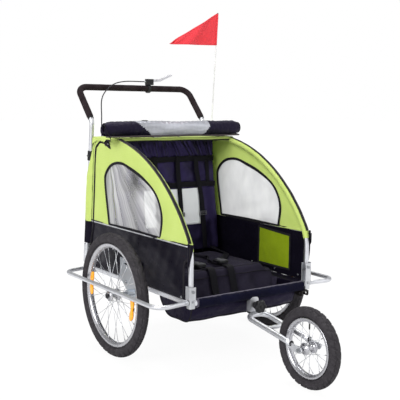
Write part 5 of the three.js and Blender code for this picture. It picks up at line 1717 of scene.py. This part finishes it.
def flag():
    pole = dense([(POLE_X, pole_y(z), z) for z in (275, 1437)], 60)
    build("whip_pole", tube(pole, 2.5, 16), POLE_WHITE, node="flag_pole")
    tip = lathe([(CORE, 1431), (3.4, 1431), (3.4, 1436), (1.5, 1437), (CORE, 1437)], 18,
                (POLE_X, pole_y(1434), 0), Z)
    build("pole_tip", tip, PLASTIC)
    u, v = grid(60, 30)
    x = 308.8 - 250 * u
    low, high = 1291 - 8 * u, 1433 - 147 * u
    z = low + v * (high - low)
    wave = 8.5 * np.sin(u * 7.0 + v * 2.4) * np.sqrt(u) + 3.6 * np.sin(u * 17 + v * 6) * np.sqrt(u)
    points = np.dstack([x, pole_y(z) + wave, z])
    build("flag_cloth", points, RED_CLOTH, node="flag", solid=0.8)
    hem = [dense(points[:, 0], 30), dense(points[:, -1], 30)]
    build("flag_hem", merge(*[sweep(h, band(4.0, 1.6), side=(0, 0, 1)) for h in hem]), RED_CLOTH)
    sock = dense([(POLE_X, pole_y(z), z) for z in (1290, 1434)], 12)
    build("flag_sock", tube(sock, 4.0, 18, 1 + 0.05 * waves(sock, 40, 161)), RED_CLOTH)


# ---------------------------------------------------------------- studio


FLOOR_GLOW = 0.93
FLOOR_SHADOW = 0.09
FLOOR_REACH = 40.0
FLOOR_DROP = -0.5
AMBIENT = 0.36
SUNS = (
    ("key", (0.80, 0.36, -0.48), 2.4, 40),
    ("fill", (-0.60, 0.75, -0.45), 0.7, 60),
    ("top", (-0.18, -0.24, -1.0), 1.7, 36),
)
CAMERA_AT = (-1.8679, -2.4844, 1.0068)
CAMERA_TURN = (35.4, 7.0, 0.6)
LENS = 69.0


def sun(name, direction, strength, spread):
    data = bpy.data.lights.new(name, "SUN")
    data.energy, data.angle = strength, math.radians(spread)
    obj = bpy.data.objects.new(name, data)
    obj.rotation_euler = Vector(direction).to_track_quat("-Z", "Y").to_euler()
    SCENE.collection.objects.link(obj)


def camera_only(tree, seen, other):
    """Shows one shader to the camera and another to every other ray."""
    path = tree.nodes.new("ShaderNodeLightPath")
    blend = tree.nodes.new("ShaderNodeMixShader")
    tree.links.new(path.outputs["Is Camera Ray"], blend.inputs[0])
    tree.links.new(other, blend.inputs[1])
    tree.links.new(seen, blend.inputs[2])
    return blend.outputs[0]


def studio():
    """A large pale floor that runs out to white, a white surround, and three broad lights."""
    g = Graph("studio_paper")
    g.set("Base Color", g.mix(g.noise(1.2), (0.74, 0.74, 0.74), (0.78, 0.78, 0.78)))
    g.set("Roughness", 0.95)
    g.bump(g.noise(300, 2), 0.2)
    glow = g.nodes.new("ShaderNodeEmission")
    glow.inputs["Strength"].default_value = FLOOR_GLOW
    faint = g.nodes.new("ShaderNodeBsdfDiffuse")
    faint.inputs["Color"].default_value = (FLOOR_SHADOW, FLOOR_SHADOW, FLOOR_SHADOW, 1)
    lit = g.nodes.new("ShaderNodeAddShader")
    g.link(faint.outputs[0], lit.inputs[0])
    g.link(glow.outputs[0], lit.inputs[1])
    g.link(camera_only(g.tree, lit.outputs[0], g.bsdf.outputs[0]), g.out.inputs["Surface"])
    marks = np.linspace(-FLOOR_REACH, FLOOR_REACH, 5) / MM
    points = np.array([[(x, y - AXLE_Y, FLOOR_DROP) for y in marks] for x in marks])
    build("studio_floor", points, g.material, body=None, closed=False)
    world = bpy.data.worlds.new("studio_world")
    SCENE.world = world
    world.use_nodes = True
    tree = world.node_tree
    soft_light = tree.nodes["Background"]
    soft_light.inputs[1].default_value = AMBIENT
    backdrop = tree.nodes.new("ShaderNodeBackground")
    backdrop.inputs[0].default_value = (1, 1, 1, 1)
    soft_light.inputs[0].default_value = (1, 1, 1, 1)
    tree.links.new(camera_only(tree, backdrop.outputs[0], soft_light.outputs[0]),
                   tree.nodes["World Output"].inputs["Surface"])
    for lamp in SUNS:
        sun(*lamp)
    SCENE.view_settings.view_transform = "Standard"
    SCENE.view_settings.look = "None"


def camera():
    azimuth, elevation, roll = (math.radians(v) for v in CAMERA_TURN)
    ahead = Vector((math.sin(azimuth) * math.cos(elevation), math.cos(azimuth) * math.cos(elevation),
                    -math.sin(elevation)))
    right = Vector((math.cos(azimuth), -math.sin(azimuth), 0))
    up = right.cross(ahead)
    across = math.cos(roll) * right + math.sin(roll) * up
    upright = -math.sin(roll) * right + math.cos(roll) * up
    data = bpy.data.cameras.new("camera")
    data.lens, data.sensor_width, data.shift_x = LENS, 36.0, 0.003
    obj = bpy.data.objects.new("camera", data)
    rotation = Matrix((across, upright, -ahead)).transposed()
    obj.matrix_world = Matrix.Translation(CAMERA_AT) @ rotation.to_4x4()
    SCENE.collection.objects.link(obj)
    SCENE.camera = obj


# ---------------------------------------------------------------- assembly

base_frame()
small_hardware()
wheels()
jogger_arm()
push_handle()
for side, s in SIDES:
    wheel_guard(side, s)
    axle_plate(side, s)
    side_frame(side, s)
    harness(side, s)
pocket()
roof()
roof_patches()
rear()
cover_roll()
seat()
seat_back()
floor_and_well()
bar_pad()
snaps()
flag()
studio()
camera()
